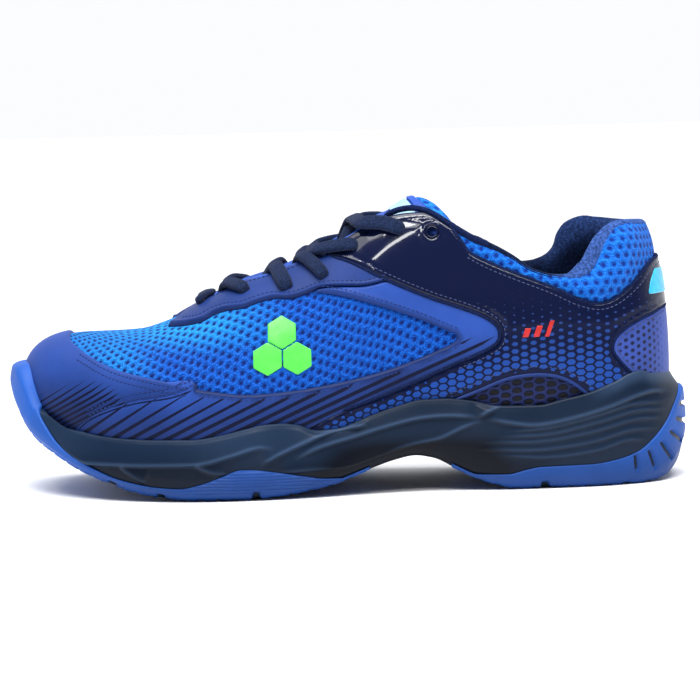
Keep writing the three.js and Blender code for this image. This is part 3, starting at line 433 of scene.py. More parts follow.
def make_object(name, vertices, faces, materials, uv=None, values=None, slots=None):
    """A mesh object from millimetre vertices; uv and values are per vertex, slots per face."""
    mesh = bpy.data.meshes.new(name)
    vertices, faces = np.asarray(vertices, float) * MM, np.asarray(faces)
    count, corners = faces.shape
    mesh.vertices.add(len(vertices))
    mesh.vertices.foreach_set("co", vertices.ravel())
    mesh.loops.add(count * corners)
    mesh.loops.foreach_set("vertex_index", faces.ravel())
    mesh.polygons.add(count)
    mesh.polygons.foreach_set("loop_start", np.arange(0, count * corners, corners))
    mesh.update(calc_edges=True)
    mesh.validate()
    if uv is not None:
        layer = mesh.uv_layers.new(name="Cloth")
        index = np.empty(len(mesh.loops), int)
        mesh.loops.foreach_get("vertex_index", index)
        layer.data.foreach_set("uv", uv[index].ravel())
    for key, value in (values or {}).items():
        mesh.attributes.new(key, "FLOAT", "POINT").data.foreach_set("value", value)
    for material in materials:
        mesh.materials.append(material)
    if slots is not None:
        mesh.polygons.foreach_set("material_index", slots)
    mesh.polygons.foreach_set("use_smooth", np.ones(len(mesh.polygons), bool))
    mesh.update()
    obj = bpy.data.objects.new(name, mesh)
    bpy.context.scene.collection.objects.link(obj)
    return obj


def settle(obj, body, slot, *nodes):
    """Puts a piece on its body, in the place of CAD nodes. The slot is not used."""
    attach(obj, body)
    if nodes:
        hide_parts(*nodes)
    return obj


def settle_parts(name, parts, material, slot, keys=()):
    """One object on the shoe from several closed bodies, with attributes of zero under the keys."""
    base = np.cumsum([0] + [len(v) for v, _ in parts])
    vertices = np.vstack([v for v, _ in parts])
    faces = np.vstack([f + first for (_, f), first in zip(parts, base)])
    values = {key: np.zeros(len(vertices)) for key in keys}
    return settle(make_object(name, vertices, faces, [material], values=values), "shoe", slot)


ARC_TURNS = np.linspace(-0.5, 1.5, 2401)
ARC_UP = 0.35
ARC_LENGTHS = run_along(surface(ARC_TURNS, np.full(ARC_TURNS.shape, ARC_UP)))


def even_turns(count):
    """Turns evenly spaced along the wall, once round the shoe."""
    a, b = np.interp([0.0, 1.0], ARC_TURNS, ARC_LENGTHS)
    return np.interp(a + (b - a) * np.arange(count) / count, ARC_LENGTHS, ARC_TURNS)


CLOTH_X = -20.0
CLOTH_SHIFT = 2000  # keeps the cloth's coordinates positive for the honeycomb
CLOTH_ARC = [float(np.interp(t[0], ARC_TURNS, ARC_LENGTHS)) for t in (
    find([(CLOTH_X, 50)], LATERAL)[0], find([(CLOTH_X, 50)], MEDIAL)[0] - 1,
)]


class Skin:
    """Part of the upper's surface, as triangles over (turn, up)."""

    def __init__(self, start, end, spacing=1.3, rows=72, low=0.0, high=1.0):
        a, b = np.interp([start, end], ARC_TURNS, ARC_LENGTHS)
        columns = int((b - a) / spacing) + 1
        turns = np.interp(np.linspace(a, b, columns + 1), ARC_LENGTHS, ARC_TURNS)
        ups = np.linspace(low, high, rows + 1)
        self.turn = np.repeat(turns, rows + 1)
        self.up = np.tile(ups, columns + 1)
        i, j = np.meshgrid(np.arange(columns), np.arange(rows), indexing="ij")
        a = (i * (rows + 1) + j).ravel()
        quad = np.stack([a, a + rows + 1, a + rows + 2, a + 1], 1)
        flip = ((i + j) % 2).ravel().astype(bool)
        first = np.where(flip[:, None], quad[:, [0, 1, 3]], quad[:, [0, 1, 2]])
        second = np.where(flip[:, None], quad[:, [1, 2, 3]], quad[:, [0, 2, 3]])
        self.tris = np.vstack([first, second])
        self.refresh()

    def refresh(self):
        self.p, self.n = placed(self.turn, self.up)

    def cut(self, values, drop=True):
        """Splits the triangles where values cross zero; drop removes the negative side."""
        v = np.where(np.abs(values) < 1e-5, 1e-5, values)
        positive = v > 0
        inside = positive[self.tris]
        count = inside.sum(1)
        keep = self.tris[count == 3] if drop else self.tris[(count == 3) | (count == 0)]
        mixed = self.tris[(count == 1) | (count == 2)]
        if len(mixed):
            signs = positive[mixed]
            lone = np.where(signs.sum(1) == 1, np.argmax(signs, 1), np.argmin(signs, 1))
            rows = np.arange(len(mixed))
            a, b, c = mixed[rows, lone], mixed[rows, (lone + 1) % 3], mixed[rows, (lone + 2) % 3]
            edges = np.sort(np.vstack([np.stack([a, b], 1), np.stack([a, c], 1)]), axis=1)
            unique, inverse = np.unique(edges, axis=0, return_inverse=True)
            inverse = inverse.ravel()
            i, j = unique[:, 0], unique[:, 1]
            t = v[i] / (v[i] - v[j])
            base = len(self.turn)
            self.turn = np.concatenate([self.turn, self.turn[i] * (1 - t) + self.turn[j] * t])
            self.up = np.concatenate([self.up, self.up[i] * (1 - t) + self.up[j] * t])
            p, q = base + inverse[:len(mixed)], base + inverse[len(mixed):]
            lone_in = positive[a]
            parts = [keep]
            single = np.stack([a, p, q], 1)
            pair = np.vstack([np.stack([p, b, c], 1), np.stack([p, c, q], 1)])
            pair_in = np.concatenate([~lone_in, ~lone_in])
            parts.append(single[lone_in] if drop else single)
            parts.append(pair[pair_in] if drop else pair)
            self.tris = np.vstack(parts)
        else:
            self.tris = keep
        self.compact()
        self.refresh()

    def compact(self):
        used, index = np.unique(self.tris, return_inverse=True)
        self.turn, self.up = self.turn[used], self.up[used]
        self.tris = index.reshape(self.tris.shape)

    def weld(self):
        """Joins the two sides where they meet along the spine."""
        first, self.tris = welded(self.p, self.tris, per_mm=500)
        self.turn, self.up = self.turn[first], self.up[first]
        self.compact()
        self.refresh()

    def shape(self, inside, rings=(0.12, 0.45, 1.0)):
        """Cuts the skin to inside(points) > 0 and adds edge loops near the border for a rounded edge."""
        self.cut(inside(self.p))
        for ring in rings:
            self.cut(inside(self.p) - ring, drop=False)
        self.weld()
        return inside(self.p)

    def cloth(self, turned=0.0):
        """Flat coordinates in millimetres along and up the surface, turned by an angle in degrees."""
        turn = np.where(self.turn > 0.5, self.turn - 1, self.turn) if self.p[:, 0].max() < 100 else self.turn
        arc = np.interp(turn, ARC_TURNS, ARC_LENGTHS)
        ups = np.linspace(0, 1, 41)
        columns = surface(self.turn[:, None], ups[None, :].repeat(len(self.turn), 0))
        lengths = np.concatenate([
            np.zeros((len(self.turn), 1)),
            np.cumsum(np.linalg.norm(np.diff(columns, axis=1), axis=2), axis=1),
        ], axis=1)
        at = np.clip(self.up, 0, 1) * 40
        i = np.clip(at.astype(int), 0, 39)
        rows = np.arange(len(self.turn))
        height = lengths[rows, i] + (lengths[rows, i + 1] - lengths[rows, i]) * (at - i)
        if self.p[:, 0].max() < 100:
            side = np.where(turn < 0, -1.0, 1.0)
            on_side = CLOTH_X + side * (arc - np.where(turn < 0, CLOTH_ARC[1], CLOTH_ARC[0]))
            near_spine = step(0.62, 0.97, self.up)
            u = on_side * (1 - near_spine) + self.p[:, 0] * near_spine
            v = -side * (lengths[:, -1] - height)
        else:
            u, v = arc, height
        c, s = math.cos(math.radians(turned)), math.sin(math.radians(turned))
        return np.stack([u * c + v * s, v * c - u * s], 1) + CLOTH_SHIFT


def side_skin(side, start, end, **kind):
    """A skin over the same stretch of the wall on the lateral or the medial side."""
    return Skin(start, end, **kind) if side < 0 else Skin(1 - end, 1 - start, **kind)


def panel(name, skin, outer, inner, material, slot, *nodes, values=None, turned=0.0):
    """A closed shell from a cut skin, between two offsets given per vertex."""
    sheets = [skin.p + skin.n * np.broadcast_to(offset, len(skin.turn))[:, None] for offset in (outer, inner)]
    values = {key: np.tile(value, 2) for key, value in (values or {}).items()}
    obj = make_object(name, *shell(*sheets, skin.tris), [material], np.tile(skin.cloth(turned), (2, 1)), values)
    return settle(obj, "shoe", slot, *nodes)


def rim_profile(d, radius=1.0):
    """0 on the border, rising in a quarter circle to 1 at radius from it."""
    t = np.clip(d / radius, 0, 1)
    return np.sqrt(np.clip(1 - (1 - t) ** 2, 0, 1))


# ---------------------------------------------------------------- materials

def scaled(color, factor):
    return tuple(min(1, c * factor) for c in color)


class Finish:
    """Builds one procedural material."""

    def __init__(self, name, color=(0.5, 0.5, 0.5), roughness=0.5, **sockets):
        self.material = bpy.data.materials.new(name)
        self.material.use_nodes = True
        self.tree = self.material.node_tree
        self.tree.nodes.clear()
        out = self.tree.nodes.new("ShaderNodeOutputMaterial")
        self.shader = self.tree.nodes.new("ShaderNodeBsdfPrincipled")
        self.tree.links.new(self.shader.outputs[0], out.inputs[0])
        self.set("Base Color", (*color, 1))
        self.set("Roughness", roughness)
        self.set("Specular IOR Level", 0.2)
        for key, value in sockets.items():
            self.set(key.replace("_", " "), value)

    def feed(self, socket, value):
        """Links a socket to a value's socket, or sets it to a plain value."""
        if hasattr(value, "is_linked"):
            self.tree.links.new(value, socket)
        else:
            socket.default_value = value

    def set(self, socket, value):
        self.feed(self.shader.inputs[socket], value)

    def node(self, kind, inputs=(), output=0, **settings):
        made = self.tree.nodes.new(kind)
        for key, value in settings.items():
            setattr(made, key, value)
        for key, value in dict(inputs).items():
            self.feed(made.inputs[key], value)
        return made.outputs[output]

    def math(self, operation, a, b=0.0):
        return self.node("ShaderNodeMath", {0: a, 1: b}, operation=operation)

    def vector(self, operation, a, b=(0, 0, 0)):
        output = 1 if operation in ("LENGTH", "DOT_PRODUCT") else 0
        return self.node("ShaderNodeVectorMath", {0: a, 1: b}, output, operation=operation)

    def axis(self, vector, number):
        return self.node("ShaderNodeSeparateXYZ", {0: vector}, number)

    def value(self, name):
        return self.node("ShaderNodeAttribute", output=2, attribute_name=name)

    def cloth(self):
        return self.node("ShaderNodeUVMap", uv_map="Cloth")

    def place(self):
        return self.node("ShaderNodeTexCoord", output=3)

    def noise(self, scale, detail=3.0):
        return self.node("ShaderNodeTexNoise", {"Vector": self.place(), "Scale": scale, "Detail": detail})

    def ramp(self, value, low, high, a=0.0, b=1.0):
        inputs = {"Value": value, "From Min": low, "From Max": high, "To Min": a, "To Max": b}
        return self.node("ShaderNodeMapRange", inputs, interpolation_type="SMOOTHSTEP")

    def mix(self, share, a, b):
        colors = [c if hasattr(c, "is_linked") else (*c, 1) for c in (a, b)]
        return self.node("ShaderNodeMix", {0: share, 6: colors[0], 7: colors[1]}, 2, data_type="RGBA")

    def mottled(self, color, dark, light, scale=45.0):
        """A colour that drifts between two shades of it."""
        return self.mix(self.ramp(self.noise(scale), 0.3, 0.7), scaled(color, dark), scaled(color, light))

    def cells(self, pitch, vector=None, wide=None):
        """Distance from the middle of a honeycomb's cells: round, and as a hexagon's half width.
        A wide honeycomb has its cells' corners to the front and the back, and is stretched that way."""
        plane = self.cloth() if vector is None else vector
        if wide is not None:
            plane = self.node("ShaderNodeCombineXYZ", {0: self.axis(plane, 1), 1: self.axis(plane, 0)})
        plane = self.vector("MULTIPLY", plane, (1 / pitch, 1 / (pitch * (wide or 1)), 0))
        tall = math.sqrt(3)
        found = []
        for shift in (0.0, 0.5):
            moved = self.vector("ADD", plane, (1000 + shift, (1000 + shift) * tall, 0))
            local = self.vector("MODULO", moved, (1, tall, 1))
            centred = self.vector("SUBTRACT", local, (0.5, tall / 2, 0))
            size = self.vector("ABSOLUTE", centred)
            slant = self.vector("DOT_PRODUCT", size, (0.5, tall / 2, 0))
            straight = self.vector("DOT_PRODUCT", size, (1, 0, 0))
            found.append((self.vector("LENGTH", centred), self.math("MAXIMUM", slant, straight)))
        return [self.math("MINIMUM", a, b) for a, b in zip(*found)]

    def bump(self, height, depth, strength=1.0, normal=None):
        inputs = {"Height": height, "Distance": depth * MM, "Strength": strength}
        if normal is not None:
            inputs["Normal"] = normal
        return self.node("ShaderNodeBump", inputs)

    def grain(self):
        """Fine leather-like grain."""
        pores = self.node("ShaderNodeTexVoronoi", {"Vector": self.place(), "Scale": 1600.0}, feature="F1")
        return self.bump(pores, 0.12, 0.35)


def mesh_fabric(name, pitch, bright, deep, hole, top=None):
    """Sandwich mesh: looped strands round a honeycomb of ragged open cells."""
    f = Finish(name, roughness=0.75, Sheen_Weight=0.05, Sheen_Roughness=0.4, Specular_IOR_Level=0.1)
    plane = f.cloth()
    wobble = f.node("ShaderNodeTexNoise", {"Vector": plane, "Scale": 0.9, "Detail": 2.0}, 1)
    push = f.vector("MULTIPLY", f.vector("SUBTRACT", wobble, (0.5, 0.5, 0.5)), (1.1, 1.1, 0))
    round_gap, hexagon = f.cells(pitch, f.vector("ADD", plane, push))
    loops = f.node("ShaderNodeTexVoronoi", {"Vector": plane, "Scale": 1.55, "Randomness": 0.75}, feature="F1")
    fibre = f.node("ShaderNodeTexNoise", {"Vector": plane, "Scale": 2.6, "Detail": 4.0, "Roughness": 0.65})
    ragged = f.math("ADD", round_gap, f.math("MULTIPLY", f.math("SUBTRACT", loops, 0.4), 0.16))
    opening = f.ramp(ragged, 0.15, 0.41, 1, 0)
    strand = f.ramp(hexagon, 0.26, 0.5)
    shade = f.ramp(f.math("ADD", f.math("MULTIPLY", loops, -0.55), fibre), -0.05, 0.42)
    color = f.mix(shade, deep, bright)
    # Painted highlight: where the glow attribute is set, the colour turns towards the lighter top colour, as light on
    # the up-facing toe and vamp.
    if top is not None:
        color = f.mix(f.math("MULTIPLY", f.value("glow"), f.ramp(shade, 0, 1, 0.45, 1)), color, top)
    # Painted highlight: light glints on the strands, painted as a paler colour.
    glint = f.math("MULTIPLY", f.ramp(fibre, 0.56, 0.72, 0, 0.55), strand)
    color = f.mix(glint, color, (min(1, bright[0] * 3 + 0.03), min(1, bright[1] * 1.9 + 0.06), 0.98))
    f.set("Base Color", f.mix(opening, color, hole))
    height = f.math("ADD", f.math("MULTIPLY", strand, 0.8), f.math("MULTIPLY", loops, -0.45))
    f.set("Normal", f.bump(f.math("ADD", height, f.math("MULTIPLY", fibre, 0.3)), 0.9))
    return f.material


def striped_synthetic(name, color, dark):
    """Satin film with printed stripes, and painted shade, from the shade attribute, that darkens it."""
    f = Finish(name, roughness=0.46, Specular_IOR_Level=0.12)
    phase = f.math("FRACT", f.value("stripe"))
    inside = f.ramp(f.math("SUBTRACT", f.value("stripe_width"), phase), -0.05, 0.05)
    ground = f.mix(f.value("shade"), f.mottled(color, 0.88, 1.1), dark)
    f.set("Base Color", f.mix(inside, ground, dark))
    f.set("Normal", f.bump(inside, 0.25, 0.6, f.grain()))
    return f.material


def plain_synthetic(name, color, roughness=0.42):
    f = Finish(name, roughness=roughness, Coat_Weight=0.03, Coat_Roughness=0.3, Specular_IOR_Level=0.12)
    f.set("Base Color", f.mottled(color, 0.86, 1.12))
    f.set("Normal", f.grain())
    return f.material


def patent(name):
    """Glossy navy film, with a honeycomb print that grows towards the sole."""
    f = Finish(name, roughness=0.16, Coat_Weight=0.7, Coat_Roughness=0.05, Specular_IOR_Level=0.05)
    _, hexagon = f.cells(3.05, wide=1.46)
    size = f.value("print_size")
    cell = f.ramp(f.math("SUBTRACT", f.math("MULTIPLY", size, 0.5), hexagon), 0.0, 0.06)
    hue = f.mix(f.value("print_glow"), (0.018, 0.032, 0.12), (0.010, 0.052, 0.27))
    f.set("Base Color", f.mix(cell, (0.003, 0.006, 0.03), hue))
    f.set("Roughness", f.ramp(size, 0.25, 0.8, 0.14, 0.36))
    f.set("Coat Weight", f.ramp(f.axis(f.place(), 2), 0.062, 0.086, 0.06, 0.75))
    f.set("Normal", f.bump(f.noise(38.0, 2.0), 2.2, 0.35, f.bump(cell, 0.12, 0.5)))
    return f.material


def perforated(name, color, hole, pitch, radius, wide):
    f = Finish(name, roughness=0.5)
    gap, _ = f.cells(pitch, wide=wide)
    opening = f.ramp(gap, radius - 0.05, radius + 0.05, 1, 0)
    strength = f.math("MULTIPLY", opening, f.value("print_glow"))
    f.set("Base Color", f.mix(strength, f.mottled(color, 0.85, 1.12, 60.0), hole))
    f.set("Normal", f.bump(strength, -0.5, 0.8, f.grain()))
    return f.material


def knit(name, color, scale=900.0, sheen=0.08, crown=None):
    """Fine knit; a lighter crown colour takes over where the crown attribute is set, as a painted highlight."""
    f = Finish(name, roughness=0.9, Sheen_Weight=sheen, Sheen_Roughness=0.45, Specular_IOR_Level=0.05)
    f.set("Sheen Tint", (0.4, 0.55, 0.95, 1))
    fine = f.noise(scale, 2.0)
    speck = f.ramp(fine, 0.35, 0.7)
    shade = f.mix(speck, scaled(color, 0.6), scaled(color, 1.5))
    if crown is not None:
        shade = f.mix(f.value("crown"), shade, f.mix(speck, scaled(crown, 0.6), scaled(crown, 1.5)))
    f.set("Base Color", shade)
    f.set("Normal", f.bump(fine, 0.35, 0.7))
    return f.material


def foam_skin(name):
    """Moulded midsole foam: satin, with a faint orange-peel, painted highlights on the crests and painted shade in
    the hollows.
    """
    f = Finish(name, roughness=0.4, Specular_IOR_Level=0.13)
    base = f.mix(f.ramp(f.noise(14.0, 2.0), 0.3, 0.7), (0.0058, 0.0155, 0.039), (0.0105, 0.0265, 0.061))
    lit = f.mix(f.value("crest"), base, (0.05, 0.095, 0.19))
    f.set("Base Color", f.mix(f.value("painted_shade"), lit, (0.002, 0.0035, 0.008)))
    f.set("Roughness", f.ramp(f.noise(30.0), 0.3, 0.7, 0.34, 0.46))
    f.set("Normal", f.bump(f.noise(700.0, 2.0), 0.08, 0.5))
    return f.material


def rubber(name, color):
    """Gum rubber, darker near the ground as painted shade."""
    f = Finish(name, roughness=0.5)
    above_ground = f.ramp(f.axis(f.place(), 2), 0.004, 0.024)
    # Painted shade: the rubber near the ground takes a darker copy of its colour.
    f.set("Base Color", f.mix(above_ground, f.mottled(color, 0.5, 0.6, 40.0), f.mottled(color, 0.9, 1.2, 40.0)))
    f.set("Roughness", f.ramp(f.noise(70.0), 0.3, 0.7, 0.42, 0.58))
    f.set("Normal", f.bump(f.noise(1100.0, 2.0), 0.08, 0.4))
    return f.material


def woven(name, color):
    """Flat woven lace: small uneven ribs."""
    f = Finish(name, roughness=0.82, Sheen_Weight=0.05, Sheen_Roughness=0.4, Specular_IOR_Level=0.1)
    weave = f.node("ShaderNodeTexVoronoi", {"Vector": f.cloth(), "Scale": 1.7, "Randomness": 0.35}, feature="F1")
    fine = f.noise(1300.0, 3.0)
    shade = f.math("MULTIPLY", f.ramp(weave, 0.7, 0.1), f.ramp(fine, 0.3, 0.7, 0.3, 1))
    f.set("Base Color", f.mix(shade, scaled(color, 0.45), scaled(color, 2.6)))
    f.set("Normal", f.bump(f.math("ADD", f.math("MULTIPLY", weave, -1.0), f.math("MULTIPLY", fine, 0.5)), 0.4, 0.9))
    return f.material


def film(name, color, roughness=0.35):
    f = Finish(name, roughness=roughness, Coat_Weight=0.25, Coat_Roughness=0.2)
    f.set("Base Color", f.mix(f.ramp(f.noise(260.0, 4.0), 0.35, 0.7), scaled(color, 0.82), color))
    f.set("Normal", f.bump(f.noise(500.0), 0.15, 0.5))
    return f.material


vamp_fabric = mesh_fabric(
    "vamp_fabric", 4.05, (0.006, 0.135, 0.68), (0.002, 0.032, 0.28), (0.001, 0.013, 0.12), top=(0.016, 0.4, 1.0),
)
collar_fabric = mesh_fabric("collar_fabric", 4.1, (0.010, 0.2, 0.78), (0.004, 0.075, 0.48), (0.002, 0.022, 0.19))
tongue_fabric = mesh_fabric("tongue_fabric", 4.0, (0.02, 0.27, 0.85), (0.006, 0.11, 0.52), (0.004, 0.035, 0.26))
striped = striped_synthetic("striped_synthetic", (0.02, 0.062, 0.3), (0.002, 0.004, 0.022))
royal = plain_synthetic("royal_synthetic", (0.02, 0.07, 0.35))
patent_film = patent("navy_patent")
vent_fabric = perforated("vent_fabric", (0.007, 0.015, 0.085), (0.0008, 0.0015, 0.007), 3.5, 0.36, 1.58)
heel_fabric = perforated("heel_fabric", (0.03, 0.062, 0.3), (0.003, 0.008, 0.045), 3.05, 0.26, 1.1)
lining_knit = knit("lining_knit", (0.010, 0.022, 0.085))
# The collar roll: the lining knit darkened as painted shade inside the collar, with a lighter crown colour as painted
# highlight on its lit top.
roll_knit = knit("roll_knit", (0.003, 0.0075, 0.028), crown=(0.03, 0.07, 0.24))
insole_knit = knit("insole_knit", (0.012, 0.03, 0.12), 600.0)
binding_tape = knit("binding_tape", (0.006, 0.012, 0.05), 1500.0, 0.04)
midsole_foam = foam_skin("midsole_foam")
outsole_rubber = rubber("outsole_rubber", (0.012, 0.078, 0.36))
lace_weave = woven("lace_weave", (0.008, 0.016, 0.05))
thread_dark = plain_synthetic("thread_dark", (0.012, 0.03, 0.14), 0.6)
thread_light = plain_synthetic("thread_light", (0.045, 0.06, 0.14), 0.6)
green_film = film("green_film", (0.1, 0.7, 0.085))
cyan_film = film("cyan_film", (0.03, 0.5, 0.8), 0.25)
red_film = film("red_film", (0.5, 0.02, 0.02))
pale_film = film("pale_film", (0.34, 0.56, 0.74))
board_fabric = knit("board_fabric", (0.35, 0.34, 0.3), 500.0, 0.1)
stiffener_board = film("stiffener_board", (0.6, 0.58, 0.52), 0.7)
shank_plastic = film("shank_plastic", (0.012, 0.014, 0.02), 0.3)
gel = film("gel", (0.12, 0.35, 0.62), 0.2)


# ---------------------------------------------------------------- upper: mesh layer and overlays

FILM_BOTTOM = 0.02
BASE_LIFT = 0.25
TOP_HOLE = 2.5


def no_values(skin):
    keys = ("stripe", "stripe_width", "shade", "glow", "print_size", "print_glow")
    return {key: np.zeros(len(skin.turn)) for key in keys}


def vamp_inside(p):
    return np.minimum.reduce([from_opening(p), 5 - zone("saddle", p), hole_at(p, 6, TOP_HOLE)])


skin = Skin(-0.5, 0.5, spacing=1.1, rows=84)
skin.shape(vamp_inside, rings=())
# glow is a painted highlight: on the top of the vamp towards the toe, and at half strength over the toe.
glow = step(58, 72, skin.p[:, 2]) * step(-20, -70, skin.p[:, 0]) * 0.9
glow = np.maximum(glow, 0.5 * step(-75, -100, skin.p[:, 0]))
panel("vamp_mesh_cloth", skin, 0.0, -MESH_THICKNESS, vamp_fabric, "upper_mesh", "vamp_mesh",
      values={"glow": glow}, turned=20)


def stripe_field(p, slope, pitch, base=24.0):
    """Which diagonal stripe a point is on, for stripes that rise along x from a base height."""
    start = p[:, 0].copy()
    for _ in range(12):
        start = p[:, 0] - (p[:, 2] - base) / slope(start)
    return start / pitch + 100


STRIPE_MARGIN = 0.06
TOE_STRIPES = 3.9, smooth([(-170, 0.6), (-130, 0.5), (-100, 0.42), (-60, 0.36)])
SIDE_STRIPES = 7.5, smooth([(-120, 0.62), (-90, 0.5), (-40, 0.41), (20, 0.38)])
STRIPE_TOP = np.transpose([
    (-147, 39), (-134.7, 43.5), (-122.8, 48), (-108.9, 51), (-100.5, 49), (-94, 44), (-86, 36)])

skin = Skin(-0.25, 0.25, spacing=0.9, rows=90)
d = skin.shape(lambda p: zone("toe_guard", p))
values = no_values(skin)
values["stripe"] = stripe_field(skin.p, TOE_STRIPES[1], TOE_STRIPES[0])
fade = step(1, -9, skin.p[:, 2] - np.interp(skin.p[:, 0], *STRIPE_TOP))
values["stripe_width"] = 0.54 * fade - STRIPE_MARGIN
# Painted shade: darker towards the bottom, and a little all over.
values["shade"] = np.clip(0.66 * step(60, 30, skin.p[:, 2]) + 0.16, 0, 1)
panel("toe_guard_shell", skin, BASE_LIFT + 1.25 * rim_profile(d), FILM_BOTTOM, striped, "blue_synthetic", "toe_guard",
      values=values)

SIDE_AREA = np.array([
    (-124, -60), (90, -60), (90, 130), (-24, 130), (-24, 82.6), (-30, 70), (-62.5, 47.5), (-66, 50), (-80, 49),
    (-100, 44), (-124, 36),
])


def side_inside(p):
    return np.minimum.reduce([
        -zone("window", p), -zone("above_eyestay", p) - GAP, 1.0 - zone("saddle", p), 3 - zone("toe_guard", p),
        distance(side_view(p), SIDE_AREA),
    ])


for side, name in NAMED_SIDES:
    skin = side_skin(side, 0.02, 0.42, spacing=0.9, rows=96)
    d = skin.shape(side_inside)
    x, z = skin.p[:, 0], skin.p[:, 2]
    from_window = -zone("window", skin.p)
    height = z - (25 + 0.16 * np.maximum(x + 60, 0))
    reach = 1 - np.clip((height - 0.1 * (x + 60)) / 20, 0, 1) ** 1.3
    upper_arm = step(60, 66, z)
    values = no_values(skin)
    values["stripe"] = stripe_field(skin.p, SIDE_STRIPES[1], SIDE_STRIPES[0])
    values["stripe_width"] = (0.12 + 0.44 * reach) * (1 - upper_arm) * step(1.6, 3.0, from_window) - STRIPE_MARGIN
    # Painted shadow along the window's edge, and painted shade towards the bottom and over the lower rear.
    window_shadow = 0.75 * step(2.6, 1.2, np.abs(from_window - 0.2)) * (1 - 0.4 * upper_arm)
    values["shade"] = np.maximum(window_shadow, 0.6 * step(24, 4, height) + 0.3 * step(70, 40, z) * step(0, 40, x))
    welt = 0.5 * ridge(from_window, 1.7, 0.8) * step(0.2, 1, d)
    panel(f"{name}_side_overlay_shell", skin, BASE_LIFT + 1.2 * rim_profile(d) + welt, FILM_BOTTOM, striped,
          "blue_synthetic", f"{name}_side_overlay", values=values)

EYELET_INDEX = smooth([(x, row) for row, (x, _) in enumerate(EYELETS)])


def eyestay_inside(p):
    scallop = 0.6 + 2.6 * np.sin(np.pi * EYELET_INDEX(p[:, 0])) ** 2 * step(-66, -58, p[:, 0])
    front = p[:, 0] + 66.5 + 13 * np.clip(np.abs(p[:, 1] - 1) / 20, 0, 1)
    return np.minimum.reduce([
        zone("above_eyestay", p), 1.0 - zone("saddle", p), from_opening(p) - scallop, front,
    ])


skin = Skin(-0.42, 0.42, spacing=0.9, rows=110, low=0.35)
d = skin.shape(eyestay_inside)
lower = zone("above_eyestay", skin.p)
values = no_values(skin)
# Painted shadow: a dark line along the eyestay's lower edge, under the piping.
values["shade"] = 0.5 * step(0.9, 0.2, lower)
piping = 0.55 * ridge(lower, 0.8, 0.5) * step(0.1, 0.8, d)
panel("eyestay_shell", skin, BASE_LIFT + 1.3 * rim_profile(d) + piping, FILM_BOTTOM, striped, "blue_synthetic",
      "eyestay_facing", values=values)


def saddle_inside(p):
    return np.minimum.reduce([
        zone("saddle", p) - GAP, -zone("above_saddle", p), -zone("vent", p), -zone("heel_panel", p),
        from_opening(p) - 0.4, hole_at(p, 6, TOP_HOLE),
    ])


for side, name in NAMED_SIDES:
    skin = side_skin(side, 0.1, 0.5, spacing=1.0, rows=100)
    d = skin.shape(saddle_inside)
    values = no_values(skin)
    x, z = skin.p[:, 0], skin.p[:, 2]
    level = z - 0.06 * (x - 60)
    size = 0.08 + 0.78 * step(86, 46, level) ** 1.15 - 0.3 * step(84, 92, level)
    size -= 0.25 * step(20, -10, x) * step(50, 70, z)
    values["print_size"] = size * step(1.2, 3.2, d)
    values["print_glow"] = step(82, 44, level)
    thick = BASE_LIFT + 1.35 * rim_profile(d, 1.3) - 0.25 * ridge(d, 2.4, 0.7)
    panel(f"{name}_saddle_shell", skin, thick, FILM_BOTTOM, patent_film, "navy_patent", f"{name}_saddle",
          f"{name}_quarter", values=values)


def collar_inside(p):
    return np.minimum.reduce([zone("above_saddle", p) + 2.4, zone("saddle", p), from_opening(p)])


skin = Skin(0.28, 0.72, spacing=0.8, rows=140, low=0.22)
skin.shape(collar_inside, rings=(0.5, 1.5))
seam, edge, x = zone("above_saddle", skin.p), from_opening(skin.p), skin.p[:, 0]
swell = 2.6 * step(0, 9, seam) * step(0, 7, edge) * step(60, 100, x) + 1.4 * step(0, 5, seam) * step(0, 4, edge)
swell *= 1 - 0.88 * step(116, 130, x)
collar = panel("collar_mesh_pad", skin, 0.2 + swell, -MESH_THICKNESS, collar_fabric, "collar_mesh_textile",
               "collar_mesh", values=no_values(skin))

skin = Skin(0.4, 0.6, spacing=1.0, rows=80, high=0.6)
d = skin.shape(lambda p: zone("heel_panel", p) - GAP)
values = no_values(skin)
values["print_glow"] = step(136, 128, skin.p[:, 0]) * step(1.2, 2.4, d)
panel("heel_panel_shell", skin, BASE_LIFT + 1.1 * rim_profile(d), FILM_BOTTOM, heel_fabric, "blue_synthetic",
      "heel_panel", values=values)

for side, name in NAMED_SIDES:
    skin = side_skin(side, 0.28, 0.46, spacing=1.0, rows=80, high=0.6)
    skin.shape(lambda p: zone("vent", p) + 1.5)
    values = no_values(skin)
    values["print_glow"] += 1
    panel(f"{name}_vent_cloth", skin, 0.15, -0.6, vent_fabric, "vent_mesh", f"{name}_vent_panel", values=values)
    turn, up = find(rounded(VENT_ARCH[1:-1], 8), side)
    settle_parts(f"{name}_vent_piping", [cord(turn, up, 1.3, 0.8)], thread_dark, "navy_patent")

# ---------------------------------------------------------------- collar roll, linings, insole

COLUMN_UPS = np.linspace(0.25, 0.999, 400)
PAD = smooth([(30, 1.2), (48, 1.6), (66, 2.6), (82, 5.0), (100, 7.4), (130, 7.6)])
CROWN = smooth([
    (30, 1.0), (50, 1.8), (55, 2.8), (61, 2.0), (68, 1.5), (84, 1.0), (93, 1.6), (97, 4.0), (101, 5.4), (107, 5.0),
    (112, 3.4), (120, 2.6), (134, 2.4),
])


